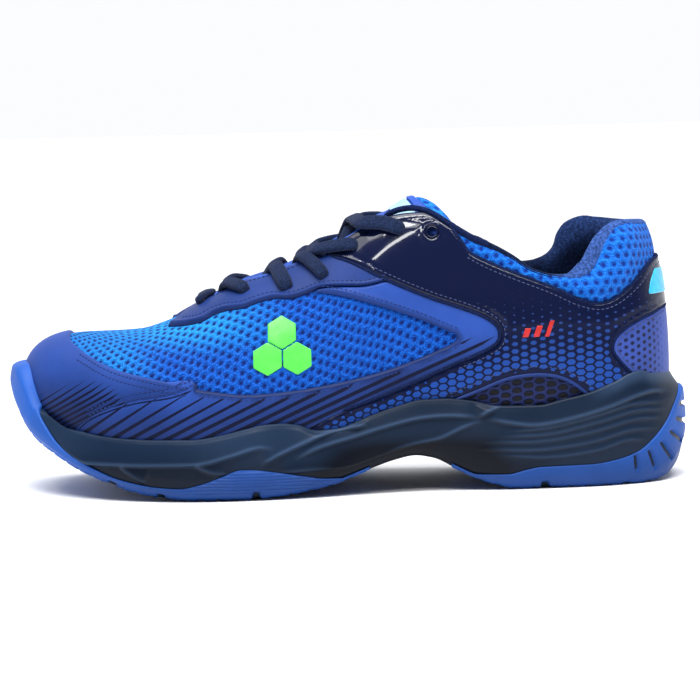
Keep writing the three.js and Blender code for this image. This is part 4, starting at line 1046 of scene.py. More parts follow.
def collar_edge(start_x, spacing=1.2):
    """The whole edge, lateral front round the heel to medial front, evenly spaced."""
    found = []
    for turn in np.linspace(0.24, 0.76, 520):
        column = surface(np.full(len(COLUMN_UPS), turn), COLUMN_UPS)
        above = distance(side_view(column), ABOVE_TOP[LATERAL if turn < 0.5 else MEDIAL])
        if above[0] > 0 or above.max() <= 0:
            continue
        k = int(np.argmax(above > 0))
        share = above[k - 1] / (above[k - 1] - above[k])
        up = COLUMN_UPS[k - 1] + share * (COLUMN_UPS[k] - COLUMN_UPS[k - 1])
        if surface(np.array([turn]), np.array([up]))[0, 0] >= start_x:
            found.append((turn, up))
    turn, up = np.array(found).T
    run = run_along(surface(turn, up))
    at = np.linspace(0, run[-1], int(run[-1] / spacing))
    turn, up = np.interp(at, run, turn), np.interp(at, run, up)
    relax(up, 3)
    return turn, up


def sweep(name, turn, up, profile, material):
    """A closed body swept along an edge of the surface; profile(point) gives (out, down) pairs."""
    p, n = placed(turn, up)
    down = unit(np.cross(unit(np.gradient(p, axis=0)), n))
    down = np.where(down[:, 2:3] > 0, -down, down)
    ups = np.linspace(0, 1, 61)
    rings, painted_crown_light = [], []
    for i in range(len(turn)):
        section = rounded_loop(profile(p[i]))
        length = run_along(surface(np.full(len(ups), turn[i]), ups))
        below = np.interp(up[i], ups, length) - np.maximum(section[:, 1], 0)
        base, normal = placed(np.full(len(section), turn[i]), np.interp(below, length, ups))
        rings.append(base + section[:, :1] * normal + np.minimum(section[:, 1:], 0) * down[i])
        # Painted highlight on the roll's lit top: only towards the rear, weaker on the medial side, none down inside.
        painted_crown_light.append((1 - step(0, 9, section[:, 1])) * step(84, 96, p[i][0]) * (1 - 0.7 * step(-4, 16, p[i][1])))
    rings = np.array(rings)
    vertices = np.vstack([rings.reshape(-1, 3), rings[0].mean(0), rings[-1].mean(0)])
    faces = outward_faces(vertices, tube_faces(*rings.shape[:2]))
    return make_object(name, vertices, faces, [material], values={"crown": np.append(painted_crown_light, [0, 0])})


def roll_profile(point):
    """Padded lining: over the top edge, down the inside, and back behind the mesh."""
    t, crown = float(PAD(point[0])), float(CROWN(point[0]))
    deep = 4 + 30 * float(step(52, 96, point[0]))
    return [
        (-0.9, 1.8), (0.3, 0.7), (0.1 - 0.1 * t, -0.55 * crown), (-0.4 * t - 0.2, -crown),
        (-0.8 * t - 0.6, -0.6 * crown), (-t - 1.5, 1.0 + 0.1 * t), (-t - 2.0, 0.22 * deep), (-t - 1.4, 0.5 * deep),
        (-0.6 * t - 1.6, 0.8 * deep), (-2.6, deep), (-1.75, 0.96 * deep), (-1.75, 0.5 * deep),
        (-1.7, 0.25 * deep + 1.5),
    ]


collar_roll = sweep("collar_roll", *collar_edge(33), roll_profile, roll_knit)
settle(collar_roll, "shoe", "lining_knit", "collar_lining", "collar_foam")

LININGS = (
    ("vamp_lining", Skin(-0.5, 0.5, spacing=1.6, rows=60),
     lambda p: [from_opening(p) - 0.6, 59 - p[:, 0], hole_at(p, 6, TOP_HOLE)]),
    ("quarter_lining", Skin(0.2, 0.8, spacing=1.6, rows=70),
     lambda p: [from_opening(p) - 3 - 4 * step(60, 90, p[:, 0]), p[:, 0] - 59.3]),
)
for name, skin, limits in LININGS:
    skin.shape(lambda p: np.minimum.reduce(limits(p)), rings=())
    panel(f"{name}_cloth", skin, LINING_OFFSET, LINING_OFFSET - 1, lining_knit, "lining_knit", name)

BOARD_TOP = 1.5
INSOLE_INSET, INSOLE_THICKNESS, INSOLE_CUP = 4.6, 4.5, 1.6
INSOLE_COLUMNS, INSOLE_ROWS = 240, 30


def insole():
    """Textile-topped insole, cupped at the edges: a top and an underside from the middle line out, and a rim."""
    foot, _, _, _, outward = wall(even_turns(INSOLE_COLUMNS))
    edge = foot - outward * INSOLE_INSET
    spine_y = SPINE_Y(foot[:, 0])
    sheets = []
    for top in (1, 0):
        for level in np.linspace(0, 1, INSOLE_ROWS):
            thickness = INSOLE_THICKNESS * (0.98 if level < 0.97 else 0.7) + INSOLE_CUP * level ** 6
            p = edge.copy()
            p[:, 1] = spine_y + (edge[:, 1] - spine_y) * np.sin(level * np.pi / 2)
            p[:, 2] = BOARD_HEIGHT(p[:, 0]) + BOARD_TOP + 0.2 + top * thickness
            sheets.append(p)
    sheet = grid(INSOLE_ROWS, INSOLE_COLUMNS, wrap=True)
    under = INSOLE_ROWS * INSOLE_COLUMNS
    rim = under - INSOLE_COLUMNS + np.arange(INSOLE_COLUMNS)
    after = np.roll(rim, -1)
    sides = halves(np.stack([rim, after, after + under, rim + under], 1))
    vertices = np.vstack(sheets)
    first, tris = welded(vertices, np.vstack([sheet, sheet[:, ::-1] + under, sides]), per_mm=200)
    _, index, count = np.unique(np.sort(tris, axis=1), axis=0, return_index=True, return_counts=True)
    tris = tris[index[count == 1]]
    return make_object("insole_body", vertices[first], outward_faces(vertices[first], tris), [insole_knit])


settle(insole(), "shoe", "sockliner_textile", "sockliner")

# ---------------------------------------------------------------- bindings and stitches

def evenly(turn, up, spacing):
    """Evenly spaced turn and up along a line of the surface."""
    run = run_along(surface(turn, up))
    at = np.arange(0, run[-1], spacing)
    return np.interp(at, run, turn), np.interp(at, run, up)


def offset_line(points, away):
    """A side-view line moved to its left by a distance."""
    p = rounded(points, 6)
    d = unit(np.gradient(p, axis=0))
    return p + away * np.stack([-d[:, 1], d[:, 0]], 1)


STITCH_SHARES = np.array([0, 0.08, 0.3, 0.7, 0.92, 1.0])
STITCH_SIZES = np.array([0.25, 0.8, 1.0, 1.0, 0.8, 0.25])


def stitch_run(turn, up, offset, length=1.25, pitch=1.95, radius=0.27):
    """Separate stitches lying along a line of the surface, as short rounded threads."""
    run = run_along(surface(turn, up))
    parts = []
    for start in np.arange(0.5, run[-1] - length, pitch):
        at = start + STITCH_SHARES * length
        t, u = np.interp(at, run, turn), np.interp(at, run, up)
        parts.append(cord(t, u, offset - 0.28 * (1 - STITCH_SIZES), radius * STITCH_SIZES, 6))
    return parts


LIGHT_STITCH = {"pitch": 2.1, "length": 1.4, "radius": 0.24}
SEAMS = (
    ("toe_guard_stitches", thread_dark, "blue_synthetic", {}, (
        (TOE_GUARD_TOP[3:], -1.9, 1.55), (TOE_GUARD_TOP[3:], -4.2, 1.55),
        (TOE_GUARD_LOW[:5], -1.8, 1.55), (TOE_GUARD_LOW[:5], -3.8, 1.55),
    )),
    ("window_stitches", thread_dark, "blue_synthetic", {}, (
        (WINDOW_LOWER, -2.4, 1.6), (WINDOW_UPPER[:-1], -2.6, 1.6),
    )),
    ("eyestay_stitches", thread_dark, "blue_synthetic", {}, ((EYESTAY_LOWER[2:], 2.1, 1.55),)),
    ("saddle_stitches", thread_light, "navy_patent", LIGHT_STITCH, (
        (SADDLE_FRONT[4:13], 2.5, 1.45), (SADDLE_TOP[3:-1], -2.4, 1.45), (VENT_ARCH[1:-1], 3.4, 1.4),
    )),
    ("heel_panel_stitches", thread_light, "blue_synthetic", LIGHT_STITCH, ((HEEL_PANEL_FRONT[1:-1], 1.9, 1.4),)),
)
for name, thread, slot, kind, lines in SEAMS:
    parts = []
    for points, away, offset in lines:
        for side in SIDES:
            parts += stitch_run(*find(offset_line(points, away), side), offset, **kind)
    settle_parts(name, parts, thread, slot)

PIPED = (
    (SADDLE_FRONT[3:15], 1.35, 0.75), (SADDLE_TOP[1:], 0.7, 0.85), (HEEL_PANEL_FRONT[:-1], 1.1, 0.6),
    (TOE_GUARD_LOW[:-1], 1.0, 0.6),
)
parts = []
for side in SIDES:
    for line, offset, radius in PIPED:
        turn, up = evenly(*find(rounded(line, 10), side), 1.0)
        size = tapered(np.full(len(turn), radius), np.array([0.3, 0.6, 0.85, 0.95]))
        parts.append(cord(turn, up, offset, size))
settle_parts("overlay_piping", parts, binding_tape, "navy_patent")

parts = []
for side in SIDES:
    line = TOP_EDGES[side]
    line = line[(line[:, 0] >= 16) & (line[:, 0] <= 62)] + [0, 0.9]
    turn, up = evenly(*find(line, side), 1.0)
    size = 1.3 + 0.3 * step(40, 54, surface(turn, up)[:, 0])
    parts.append(cord(turn, up, -0.2, tapered(size, np.array([0.4, 0.75, 0.95])), 10))
settle_parts("topline_binding", parts, binding_tape, "quarter_textile")


def throat_edge(x, side, inset):
    return THROAT_MIDDLE(x) + side * (THROAT_HALF_GAP(x) + inset)


def plan_grid(side, low_up, turns, ups):
    """Turns and ups high on one side of the wall, with their points in the plan."""
    share = np.linspace(0.02, 0.48, turns)
    t, u = np.meshgrid(share if side < 0 else 1 - share, np.linspace(low_up, 0.999, ups), indexing="ij")
    t, u = t.ravel(), u.ravel()
    return t, u, surface(t, u)[:, :2]


def throat_line(side, inset, end_x, spacing=1.0):
    """Turn and up of a line that runs beside the throat's edge."""
    xs = np.arange(THROAT_START + 0.6, end_x, spacing)
    turns, ups, seen = plan_grid(side, 0.45, 300, 160)
    found = []
    for x, y in zip(xs, throat_edge(xs, side, inset)):
        gap = (seen[:, 0] - x) ** 2 + (seen[:, 1] - y) ** 2
        near = np.argsort(gap)[:6]
        weight = 1 / (gap[near] + 0.02)
        found.append([(turns[near] * weight).sum() / weight.sum(), (ups[near] * weight).sum() / weight.sum()])
    turn, up = np.array(found).T
    relax(up, 4)
    relax(turn, 4)
    return turn, up


parts, threads = [], []
for side in SIDES:
    parts.append(cord(*throat_line(side, 0.6, 18), -1.0, 1.5, 10, flat=1.5))
    threads += stitch_run(*throat_line(side, 3.6, 2), 1.6)
settle_parts("throat_binding", parts, royal, "blue_synthetic")
settle_parts("throat_stitches", threads, thread_dark, "blue_synthetic")

EYELET_RIM = np.array([(0, -0.2), (0.06, 0.12), (0.25, 0.26), (0.45, 0.16), (0.55, -0.1), (0.42, -0.4)])


def grommet(centre, normal, radius, deep, sides=40):
    """An eyelet: a thin rolled rim with a barrel through the layers."""
    n = Vector(normal).normalized()
    a = n.orthogonal().normalized()
    a, b, n = np.array(a), np.array(n.cross(a)), np.array(n)
    around = np.linspace(0, 2 * np.pi, sides, endpoint=False)[:, None]
    section = np.vstack([(0, -deep), EYELET_RIM, (0.4, -deep)])
    radial = np.cos(around) * a + np.sin(around) * b
    rings = centre + radial[:, None] * (radius + section[:, :1]) + n * section[:, 1:]
    vertices = rings.reshape(-1, 3)
    around_once = grid(sides + 1, len(section), wrap=True) % len(vertices)
    return vertices, outward_faces(vertices, around_once)


parts = []
for side in SIDES:
    p, n = placed(*find([EYELETS[6]], side))
    parts.append(grommet(p[0] + n[0] * 1.5, n[0], 2.05, 6.4))
settle_parts("top_eyelets", parts, patent_film, "navy_patent", keys=("print_size", "print_glow"))

# ---------------------------------------------------------------- tongue

TONGUE_START = -74
TONGUE_LENGTH, TONGUE_WIDTH = 110, 26
TONGUE_ROWS, TONGUE_COLUMNS = 150, 70
LABEL_X = 30
TONGUE_RIDGE = smooth([
    (-74, 68), (-62, 73), (-45, 80.6), (-30, 85.8), (-18, 91), (-12, 96), (-6, 103), (0, 107.5),
    (10, 113), (20, 117.8), (29, 122.4), (36, 123.2),
])
TONGUE_HALF_WIDTH = smooth([(-74, 18), (-45, 22), (-20, 24), (0, 24.5), (20, 23), (36, 24)])
TONGUE_DROP = smooth([(-74, 5), (-45, 10), (-20, 17), (0, 24), (20, 31), (36, 24)])
TONGUE_SWEEP = smooth([(-74, 0), (0, 0), (15, 6), (36, 19)])
TONGUE_THICKNESS = smooth([(-74, 3.4), (-15, 3.6), (-6, 7.5), (20, 9.5), (36, 7)])


def tongue_at(along, cross):
    x = TONGUE_START + along * TONGUE_LENGTH
    spread = np.sqrt(cross**2 + 0.03) - math.sqrt(0.03)
    return np.stack([
        x + TONGUE_SWEEP(x) * spread, THROAT_MIDDLE(x) + TONGUE_HALF_WIDTH(x) * cross,
        TONGUE_RIDGE(x) - TONGUE_DROP(x) * np.abs(cross) ** 2.2,
    ], -1)


def tongue_point(along, cross, depth):
    e = 1e-3
    lengthwise = tongue_at(along + e, cross) - tongue_at(along - e, cross)
    crosswise = tongue_at(along, cross + e) - tongue_at(along, cross - e)
    return tongue_at(along, cross) - unit(np.cross(lengthwise, crosswise)) * depth[..., None]


CEILING_CORNER, CEILING_SIZE = (-150, -60), (300, 120)


def ceiling_map(offset):
    """Height of the surface moved by an offset, over a 1 mm grid of the plan."""
    turns = np.concatenate([np.linspace(0.0, 0.5, 900), np.linspace(0.5, 1.0, 900)])
    t, u = np.meshgrid(turns, np.linspace(0.35, 1, 260), indexing="ij")
    p = shifted(t.ravel(), u.ravel(), offset)
    heights = np.full(CEILING_SIZE, -1.0)
    i, j = (np.clip(np.round(p[:, k] - CEILING_CORNER[k]).astype(int), 0, CEILING_SIZE[k] - 1) for k in (0, 1))
    np.maximum.at(heights, (i, j), p[:, 2])
    for _ in range(3):
        beside = np.maximum.reduce([np.roll(heights, shift, axis) for shift in (1, -1) for axis in (0, 1)])
        heights = np.where(heights < 0, beside, heights)
    return heights


CEILING = ceiling_map(-7.0)


def under_ceiling(p):
    """Moves points that lie under the facing down to clear it; free inside the throat's slot."""
    gx, gy = (np.clip(p[:, k] - CEILING_CORNER[k], 0, CEILING_SIZE[k] - 1.01) for k in (0, 1))
    i, j = gx.astype(int), gy.astype(int)
    fx, fy = gx - i, gy - j
    high = (CEILING[i, j] * (1 - fx) * (1 - fy) + CEILING[i + 1, j] * fx * (1 - fy)
            + CEILING[i, j + 1] * (1 - fx) * fy + CEILING[i + 1, j + 1] * fx * fy)
    off_middle = np.abs(p[:, 1] - THROAT_MIDDLE(p[:, 0])) - THROAT_HALF_GAP(p[:, 0])
    covered = step(-5.0, -0.5, off_middle) * step(46, 38, p[:, 0])
    covered = np.maximum(covered, step(-57, -62, p[:, 0]))
    drop = np.maximum(p[:, 2] - high, 0) * covered * (high > 0)
    return p - np.stack([0 * drop, 0 * drop, drop], 1)


def tongue_puff(x, cross):
    return 0.8 * ridge(x, 22, 12) * (1 - cross**2)


def tongue_sheet(along, cross, share):
    """One face of the pad: share 1 is the outer face, -1 the inner one."""
    x = TONGUE_START + along * TONGUE_LENGTH
    edge = np.minimum((1 - np.abs(cross)) * TONGUE_HALF_WIDTH(x), (1 - along) * TONGUE_LENGTH)
    edge = np.minimum(edge, 3 + along * TONGUE_LENGTH)
    full = np.sqrt(np.clip(1 - (1 - np.clip(edge / 5.0, 0, 1)) ** 2, 0.02, 1))
    seams = 0.9 * ridge(x, 30, 0.9) + 0.6 * ridge(x, -8, 1.2)
    depth = 0.5 * TONGUE_THICKNESS(x) * (1 - share * full) - (tongue_puff(x, cross) - seams) * (share > 0)
    return under_ceiling(tongue_point(along, cross, depth))


along, cross = (v.ravel() for v in np.meshgrid(
    np.linspace(0, 1, TONGUE_ROWS), np.linspace(-1, 1, TONGUE_COLUMNS), indexing="ij",
))
tris = grid(TONGUE_ROWS, TONGUE_COLUMNS)
vertices, faces = shell(tongue_sheet(along, cross, 1.0), tongue_sheet(along, cross, -1.0), tris)
row = tris[:len(tris) // 2, 0] // TONGUE_COLUMNS
face_x = TONGUE_START + (row + 0.5) / TONGUE_ROWS * TONGUE_LENGTH
slots = np.full(len(faces), 2)
slots[:len(tris)] = np.tile(np.where(face_x > LABEL_X, 1, 0), 2)
cloth = np.stack([along * TONGUE_LENGTH, cross * TONGUE_WIDTH], 1) + CLOTH_SHIFT
tongue = make_object("tongue_pad", vertices, outward_faces(vertices, faces), [royal, tongue_fabric, lining_knit],
                     np.tile(cloth, (2, 1)), {"glow": np.zeros(len(vertices))}, slots)
settle(tongue, "tongue", "tongue_mesh", "tongue_face", "tongue_foam", "tongue_lining")


def tongue_patch(name, material, x_range, cross_range, lift, *nodes, columns=16):
    """A thin film that follows the tongue's face."""
    x, cross = (v.ravel() for v in np.meshgrid(
        np.linspace(*x_range, columns), np.linspace(*cross_range, columns), indexing="ij",
    ))
    along = (x - TONGUE_START) / TONGUE_LENGTH
    sheets = [tongue_point(along, cross, -(h + tongue_puff(x, cross))) for h in (lift, FILM_BOTTOM)]
    vertices, faces = shell(*sheets, grid(columns, columns))
    obj = make_object(name, vertices, outward_faces(vertices, faces), [material])
    settle(obj, "tongue", "label_film", *nodes)


tongue_patch("tongue_label_film", pale_film, (19.5, 26.5), (-0.5, 0.5), 0.7, "tongue_label")
tongue_patch("tongue_label_band", royal, (27.2, 29.6), (-0.62, 0.62), 0.9)

# ---------------------------------------------------------------- lace

LACE_EDGE_X = [-60, -50, -29, -17, -12, 9]
LACE_WIDTHS = [2.4, 2.9, 3.3, 2.9, 3.0, 3.2]
LACE_HALF_WIDTH, LACE_HALF_THICKNESS = 3.5, 1.35
LACE_STACK = 2.7
LACE_SIDES = 20
CROSSING_FACE = (-0.3, 0.0, 1.0)


def plan_find(x, y):
    """Turn and up of the surface that the plan shows at (x, y), high on the wall."""
    t, u, seen = plan_grid(np.sign(y), 0.4, 200, 140)
    best = np.argsort(((seen - [x, y]) ** 2).sum(1))[:4]
    return np.array([t[best].mean(), u[best].mean()])


def lace_strand(start):
    """Waypoints of one strand: place, the way its flat face looks, half width and half thickness."""
    out = []

    def add(spot, offset, half_width, half_thickness):
        p, n = placed(*spot[:, None])
        out.append([*(p[0] + n[0] * offset), *n[0], half_width, half_thickness])

    for row in range(6):
        side = start if row % 2 == 0 else -start
        wide = LACE_WIDTHS[row]
        hole = np.ravel(find([EYELETS[row]], side))
        edge_x = LACE_EDGE_X[row]
        edge = plan_find(edge_x, throat_edge(edge_x, side, 1.0))
        middle = (edge + hole) / 2
        if row > 0:
            add(edge, 3.6 if row < 5 else 4.6, wide, 1.5)
            add(middle, 3.5, wide + 0.1, 1.7)
        else:
            add(middle, 3.2, wide, 1.5)
        add(hole * 0.86 + middle * 0.14, 3.1, wide - 0.1, 1.6)
        add(hole, 1.6, wide - 0.5, 1.5)
        add(hole, -1.5, 2.0, 1.4)
        add(hole * 0.98 + edge * 0.02, -5.5, 2.6, 1.2)
        if row == 5:
            for lower in (0.06, 0.12):
                add(hole - [0, lower], -6.4, 3.0, 1.2)
            continue
        next_x = LACE_EDGE_X[row + 1]
        leave_x = edge_x + 0.35 * (next_x - edge_x) + 1
        add(plan_find(leave_x, throat_edge(leave_x, side, 0.5)), -5.4, 3.0, 1.2)
        middle_x = (leave_x + next_x) / 2
        lift = LACE_HALF_THICKNESS + 1.0 + (0.0 if start < 0 else LACE_STACK)
        out.append([middle_x, THROAT_MIDDLE(middle_x), TONGUE_RIDGE(middle_x) + lift, *CROSSING_FACE,
                    LACE_HALF_WIDTH, LACE_HALF_THICKNESS])
    return out


first_x = EYELETS[0][0] + 1.5
bar = [[first_x, y, float(SPINE_Z(first_x)) + 2.9, *CROSSING_FACE, 3.3, 1.4] for y in (-3.5, 3.5)]
track = rounded(lace_strand(LATERAL)[::-1] + bar + lace_strand(MEDIAL), 12)
path, facing = track[:, :3], track[:, 3:6]
tangent = unit(np.gradient(path, axis=0))
facing = facing - (facing * tangent).sum(1, keepdims=True) * tangent
relax(facing, 6)
facing = unit(facing)
across = unit(np.cross(tangent, facing))
angle = np.linspace(0, 2 * np.pi, LACE_SIDES, endpoint=False)
wide, high = (np.sign(v) * np.abs(v) ** 0.72 for v in (np.cos(angle), np.sin(angle)))
rings = path[:, None] + (wide[None, :, None] * across[:, None] * track[:, 6][:, None, None]
                         + high[None, :, None] * facing[:, None] * track[:, 7][:, None, None])
vertices = np.vstack([rings.reshape(-1, 3), path[0], path[-1]])
run = run_along(path)
cloth = np.stack([np.repeat(run, LACE_SIDES), np.tile(np.abs(angle - np.pi) * LACE_HALF_WIDTH, len(path))], 1)
lace = make_object("lace", vertices, outward_faces(vertices, tube_faces(len(path), LACE_SIDES)), [lace_weave],
                   np.vstack([cloth, [run[0], 0], [run[-1], 0]]))
settle(lace, "shoe", "lace_woven", "shoelace")

# ---------------------------------------------------------------- emblems and small marks

def hexagon_cells(x, z, size):
    """Three touching cells of a honeycomb, as outlines."""
    angle = np.pi / 6 + np.arange(6) * np.pi / 3
    corners = np.stack([np.cos(angle), np.sin(angle)], 1) * size / math.sqrt(3) * 0.95
    return [corners + [x + i * size, z + j * size] for i, j in ((0, 0), (1, 0), (0.5, math.sqrt(3) / 2))]


def film_on(name, skin, outlines, low, high, material, slot, *nodes):
    """A thin film on the surface, inside side-view outlines."""
    outlines = [np.array(outline, float) for outline in outlines]
    d = skin.shape(lambda p: np.maximum.reduce([distance(side_view(p), line) for line in outlines]), rings=(0.25,))
    thick = low + (high - low) * rim_profile(d, 0.25)
    panel(name, skin, thick, low - FILM_BOTTOM, material, slot, *nodes, values=no_values(skin))


EMBLEM = hexagon_cells(-34, 58, 12.5)
HEEL_TAB = [(127.5, 79.5), (160, 79.5), (160, 90), (131, 90), (129.5, 87), (128.5, 84.5)]
MARKS = [
    [(73, 62.6), (75.6, 62.6), (77.4, 67.6), (74.8, 67.6)], [(77.6, 62.6), (80.2, 62.6), (82.4, 68.6), (79.8, 68.6)],
    [(82.8, 63.6), (84.8, 63.6), (87.4, 70.6), (85.4, 70.6)],
]
FILM_SKIN = {"spacing": 0.7, "rows": 130, "low": 0.1, "high": 0.95}
for side, name in NAMED_SIDES:
    film_on(f"{name}_emblem_film", side_skin(side, 0.12, 0.36, **FILM_SKIN), EMBLEM, 0.05, 0.55, green_film,
            "emblem_film", f"{name}_emblem")
film_on("heel_reflector_film", Skin(0.42, 0.58, **FILM_SKIN), [HEEL_TAB], 1.5, 2.0, cyan_film, "heel_film",
        "heel_reflector")
for side, name in NAMED_SIDES:
    skin = side_skin(side, 0.3, 0.45, spacing=0.4, rows=200, low=0.2, high=0.7)
    film_on(f"{name}_red_marks", skin, MARKS, 1.5, 1.8, red_film, "emblem_film")

# ---------------------------------------------------------------- sole unit

GROUND = smooth([
    (-148, 45), (-145, 37), (-141, 30), (-134.5, 23), (-128, 18.8), (-123, 15.8), (-118, 13), (-113, 10.7),
    (-103, 7), (-94, 4), (-86, 2.2), (-76, 0.6), (-68, 0), (-42, 0), (-30, 0.9), (-18, 2.6), (-8, 4.6), (0, 7.3),
    (8, 10.2), (18, 13.4), (27, 15), (35, 13.6), (44, 9), (52, 5), (60, 2.2), (70, 0),
    (122, 0), (129, 0.6), (135, 2), (139, 4.6), (143, 9.6), (146, 18), (148, 30),
])
SIDEWALL_TOP = smooth([
    (-147, 42), (-138, 40), (-133, 37.5), (-127, 33.5), (-122, 30.4), (-115, 28.2), (-102, 26.1), (-83, 25.2),
    (-67, 25.2), (-53, 27.1), (-44, 29.2), (-36, 30.8), (-29, 31.1), (-22, 30.2), (-14, 27.6), (-6, 28),
    (9, 32.9), (19, 36), (31, 38.6), (40, 38.7), (50, 37.6), (65, 34.8), (80, 34.6), (90, 36.7),
    (101, 39), (113, 43.2), (120, 46.3), (125, 47.2), (130, 45.6), (136, 45.4), (141, 44.6), (147, 43.4),
])
RUBBER_TOP = smooth([
    (-149, 56), (-145.5, 55.4), (-143, 53), (-140, 47.5), (-135, 37), (-130, 29.5), (-125, 23.4),
    (-118, 18.4), (-109, 13.6),
    (-100, 9.7), (-91, 7.4), (-82, 5.9), (-72, 5.3), (-63, 7.1), (-54, 10.2), (-46, 12.8), (-40, 12.6),
    (-31, 11.3), (-20, 9.3), (-11, 7.8), (-4, 7.6), (2, 8), (6, 8.4), (12, 2), (30, 2), (40, 3),
    (44, 8.4), (54, 6.6), (66, 6.3), (74, 8), (80, 9), (102, 9.4), (113, 10.8), (122, 13.5),
    (129, 18.3), (136, 25.5), (141, 33), (145, 38.5), (148, 40),
])
SOLE_END_FLARE = smooth([(-145, 2.4), (-128, 0.9), (-100, 0), (110, 0), (130, 1.2), (142, 2.2)])
FLARE = smooth([(0, 4.4), (0.05, 5.6), (0.12, 6.4), (0.3, 6.6), (0.45, 6.4), (0.8, 5.6), (0.94, 5.0), (1, 4.5)])
SOLE_THICKNESS_LEAST = 1.2


def sole_outset(share, foot_x):
    """How far the sole's wall stands out from the upper, by share of its height."""
    outset = FLARE(share) + SOLE_END_FLARE(foot_x)[:, None]
    outset = outset - 1.6 * step(92, 118, foot_x)[:, None] * step(0.72, 1.0, share)
    outset = outset - 2.6 * step(122, 136, foot_x)[:, None] * np.clip((share - 0.74) / 0.26, 0, 1) ** 2
    near_top = np.clip((share - 0.76) / 0.24, 0, 1)
    return outset - 5.2 * step(-125, -131, foot_x)[:, None] * (1 - np.sqrt(1 - 0.999 * near_top ** 2))


def sole_heights(x):
    """Bottom and top of the sole's wall."""
    return GROUND(x) + SOLE_THICKNESS_LEAST, np.maximum(SIDEWALL_TOP(x), RUBBER_TOP(x))


# Edges of the overlapping waves moulded in the sidewall, as (x, z); the raised side is on the left.
WAVES = [
    (2.0, 8, [(-131, 20), (-117, 15.6), (-98, 14.8), (-76, 14.8), (-62, 15.4), (-50, 18.4), (-38, 21.6),
    (-30, 20.4)]),
    (2.1, 7, [(-38, 14.2), (-29, 18.8), (-19, 23), (-9, 26.6), (0, 28.4), (9, 29.6)]),
    (1.4, 5, [(-24, 16), (-13, 20.6), (0, 24), (13, 27.5), (29, 31), (42, 31.6), (56, 30.4)]),
    (1.3, 5, [(-32, 10.8), (-16, 11.4), (-2, 12.2), (12, 16.4), (26, 20.2), (38, 22.4), (48, 26.6), (58, 29.6)]),
    (2.2, 8, [(54, 30.6), (60, 33.4), (68, 36.2), (78, 38)]),
    (1.3, 6, [(56, 30), (68, 27.6), (78, 26.4), (92, 28.4), (110, 33), (122, 37), (129, 38.4), (138, 37)]),
    (0.8, 5, [(-98, 14.6), (-91, 9.6), (-86, 7.4)]),
    (0.8, 5, [(-66, 15), (-58, 11.4), (-52, 11)]),
]
RIBS = [
    [(64, 24.2), (84, 25.2), (104, 29.4), (120, 33.4), (136, 33.6)],
    [(60, 22), (84, 22.4), (104, 26.4), (122, 30.6), (137, 30)],
    [(54, 20), (80, 19.4), (102, 22.6), (122, 27), (136, 26.4)],
    [(50, 17.4), (78, 15.8), (102, 18.4), (120, 22.6), (133, 22)],
    [(60, 14.6), (82, 12.6), (104, 14.8), (118, 18.4), (128, 17.4)],
]


def relief(x, z):
    """How far the sidewall's waves stand out, and how much painted highlight their crests get."""
    points = np.stack([x, z], 1)
    rise, crest = np.zeros(len(x)), np.zeros(len(x))
    for height, reach, line in WAVES:
        d, share = distance(points, rounded(line, 8), closed=False)
        ends = step(0, 0.12, share) * step(1, 0.88, share)
        rise += height * step(-0.5, 0.4, d) * np.exp(-np.maximum(d, 0) / reach) * ends * (np.abs(d) < 40)
        crest += 0.55 * ridge(d, 0.7, 0.8) * ends
    for line in RIBS:
        d, share = distance(points, rounded(line, 8), closed=False)
        ends = step(0, 0.2, share) * step(1, 0.85, share)
        rise += step(-0.4, 0.5, d) * np.exp(-np.maximum(d, 0) / 1.3) * ends
        crest += 0.3 * ridge(d, 0.6, 0.6) * ends
    return rise, np.clip(crest, 0, 1)


SOLE_COLUMNS = 760
SOLE_SHARES = np.concatenate([np.linspace(0, 0.1, 6)[:-1], np.linspace(0.1, 0.94, 52)[:-1], np.linspace(0.94, 1, 6)])
LIP = ((4.0, 1.3, 0.35), (3.3, 1.0, 0.5), (2.5, 0.7, 0.35), (1.6, 0.4, -0.3), (0.2, 0.1, -5))
UNDERSIDE = ((-14, 0.4), (-2, -0.6), (2.2, -0.9))


def midsole_wall():
    """Stations round the midsole by points from its underside to its lip, and the painted highlight on the crests."""
    foot, _, _, _, out = wall(even_turns(SOLE_COLUMNS))
    p = foot[:, None, :] + out[:, None, :] * sole_outset(SOLE_SHARES[None, :], foot[:, 0])[:, :, None]
    low, high = sole_heights(p[..., 0])
    p[..., 2] = low + SOLE_SHARES[None, :] * (high - low)
    x, z = p[..., 0], p[..., 2]
    rise, crest = (v.reshape(x.shape) for v in relief(x.ravel(), z.ravel()))
    clear = step(-1.5, 0.8, z - RUBBER_TOP(x))
    stand = (rise - 0.4) * step(1.0, 0.93, SOLE_SHARES) * clear - 0.9 * (1 - clear)
    p = p + out[:, None, :] * stand[:, :, None]
    columns = []
    for inset, lift in UNDERSIDE:
        q = foot + out * (inset + SOLE_END_FLARE(foot[:, 0]))[:, None]
        q[:, 2] = GROUND(q[:, 0]) + SOLE_THICKNESS_LEAST + lift
        columns.append(q[:, None])
    columns.append(p)
    edge = sole_outset(np.ones((1, 1)), foot[:, 0])[:, 0]
    for outset, least, lift in LIP:
        q = foot + out * np.maximum(outset + edge - 4.5, least)[:, None]
        q[:, 2] = p[:, -1, 2] + lift - 3 * step(-112, -128, foot[:, 0])
        columns.append(q[:, None])
    crest = np.pad(crest * clear, ((0, 0), (len(UNDERSIDE), len(LIP))))
    return np.concatenate(columns, axis=1), crest.ravel()


def between(near, far):
    """Triangles of the strip between two lines of points."""
    return halves(np.stack([near[:-1], near[1:], far[1:], far[:-1]], 1))


def across_shoe(rows, level):
    """Triangles across the shoe at one level of the wall, between matching stations of its sides."""
    index = np.arange(SOLE_COLUMNS) * rows + level
    near, far = index[:SOLE_COLUMNS // 2 + 1], np.roll(index[::-1], 1)[:SOLE_COLUMNS // 2 + 1]
    return without_flat(between(near, far))


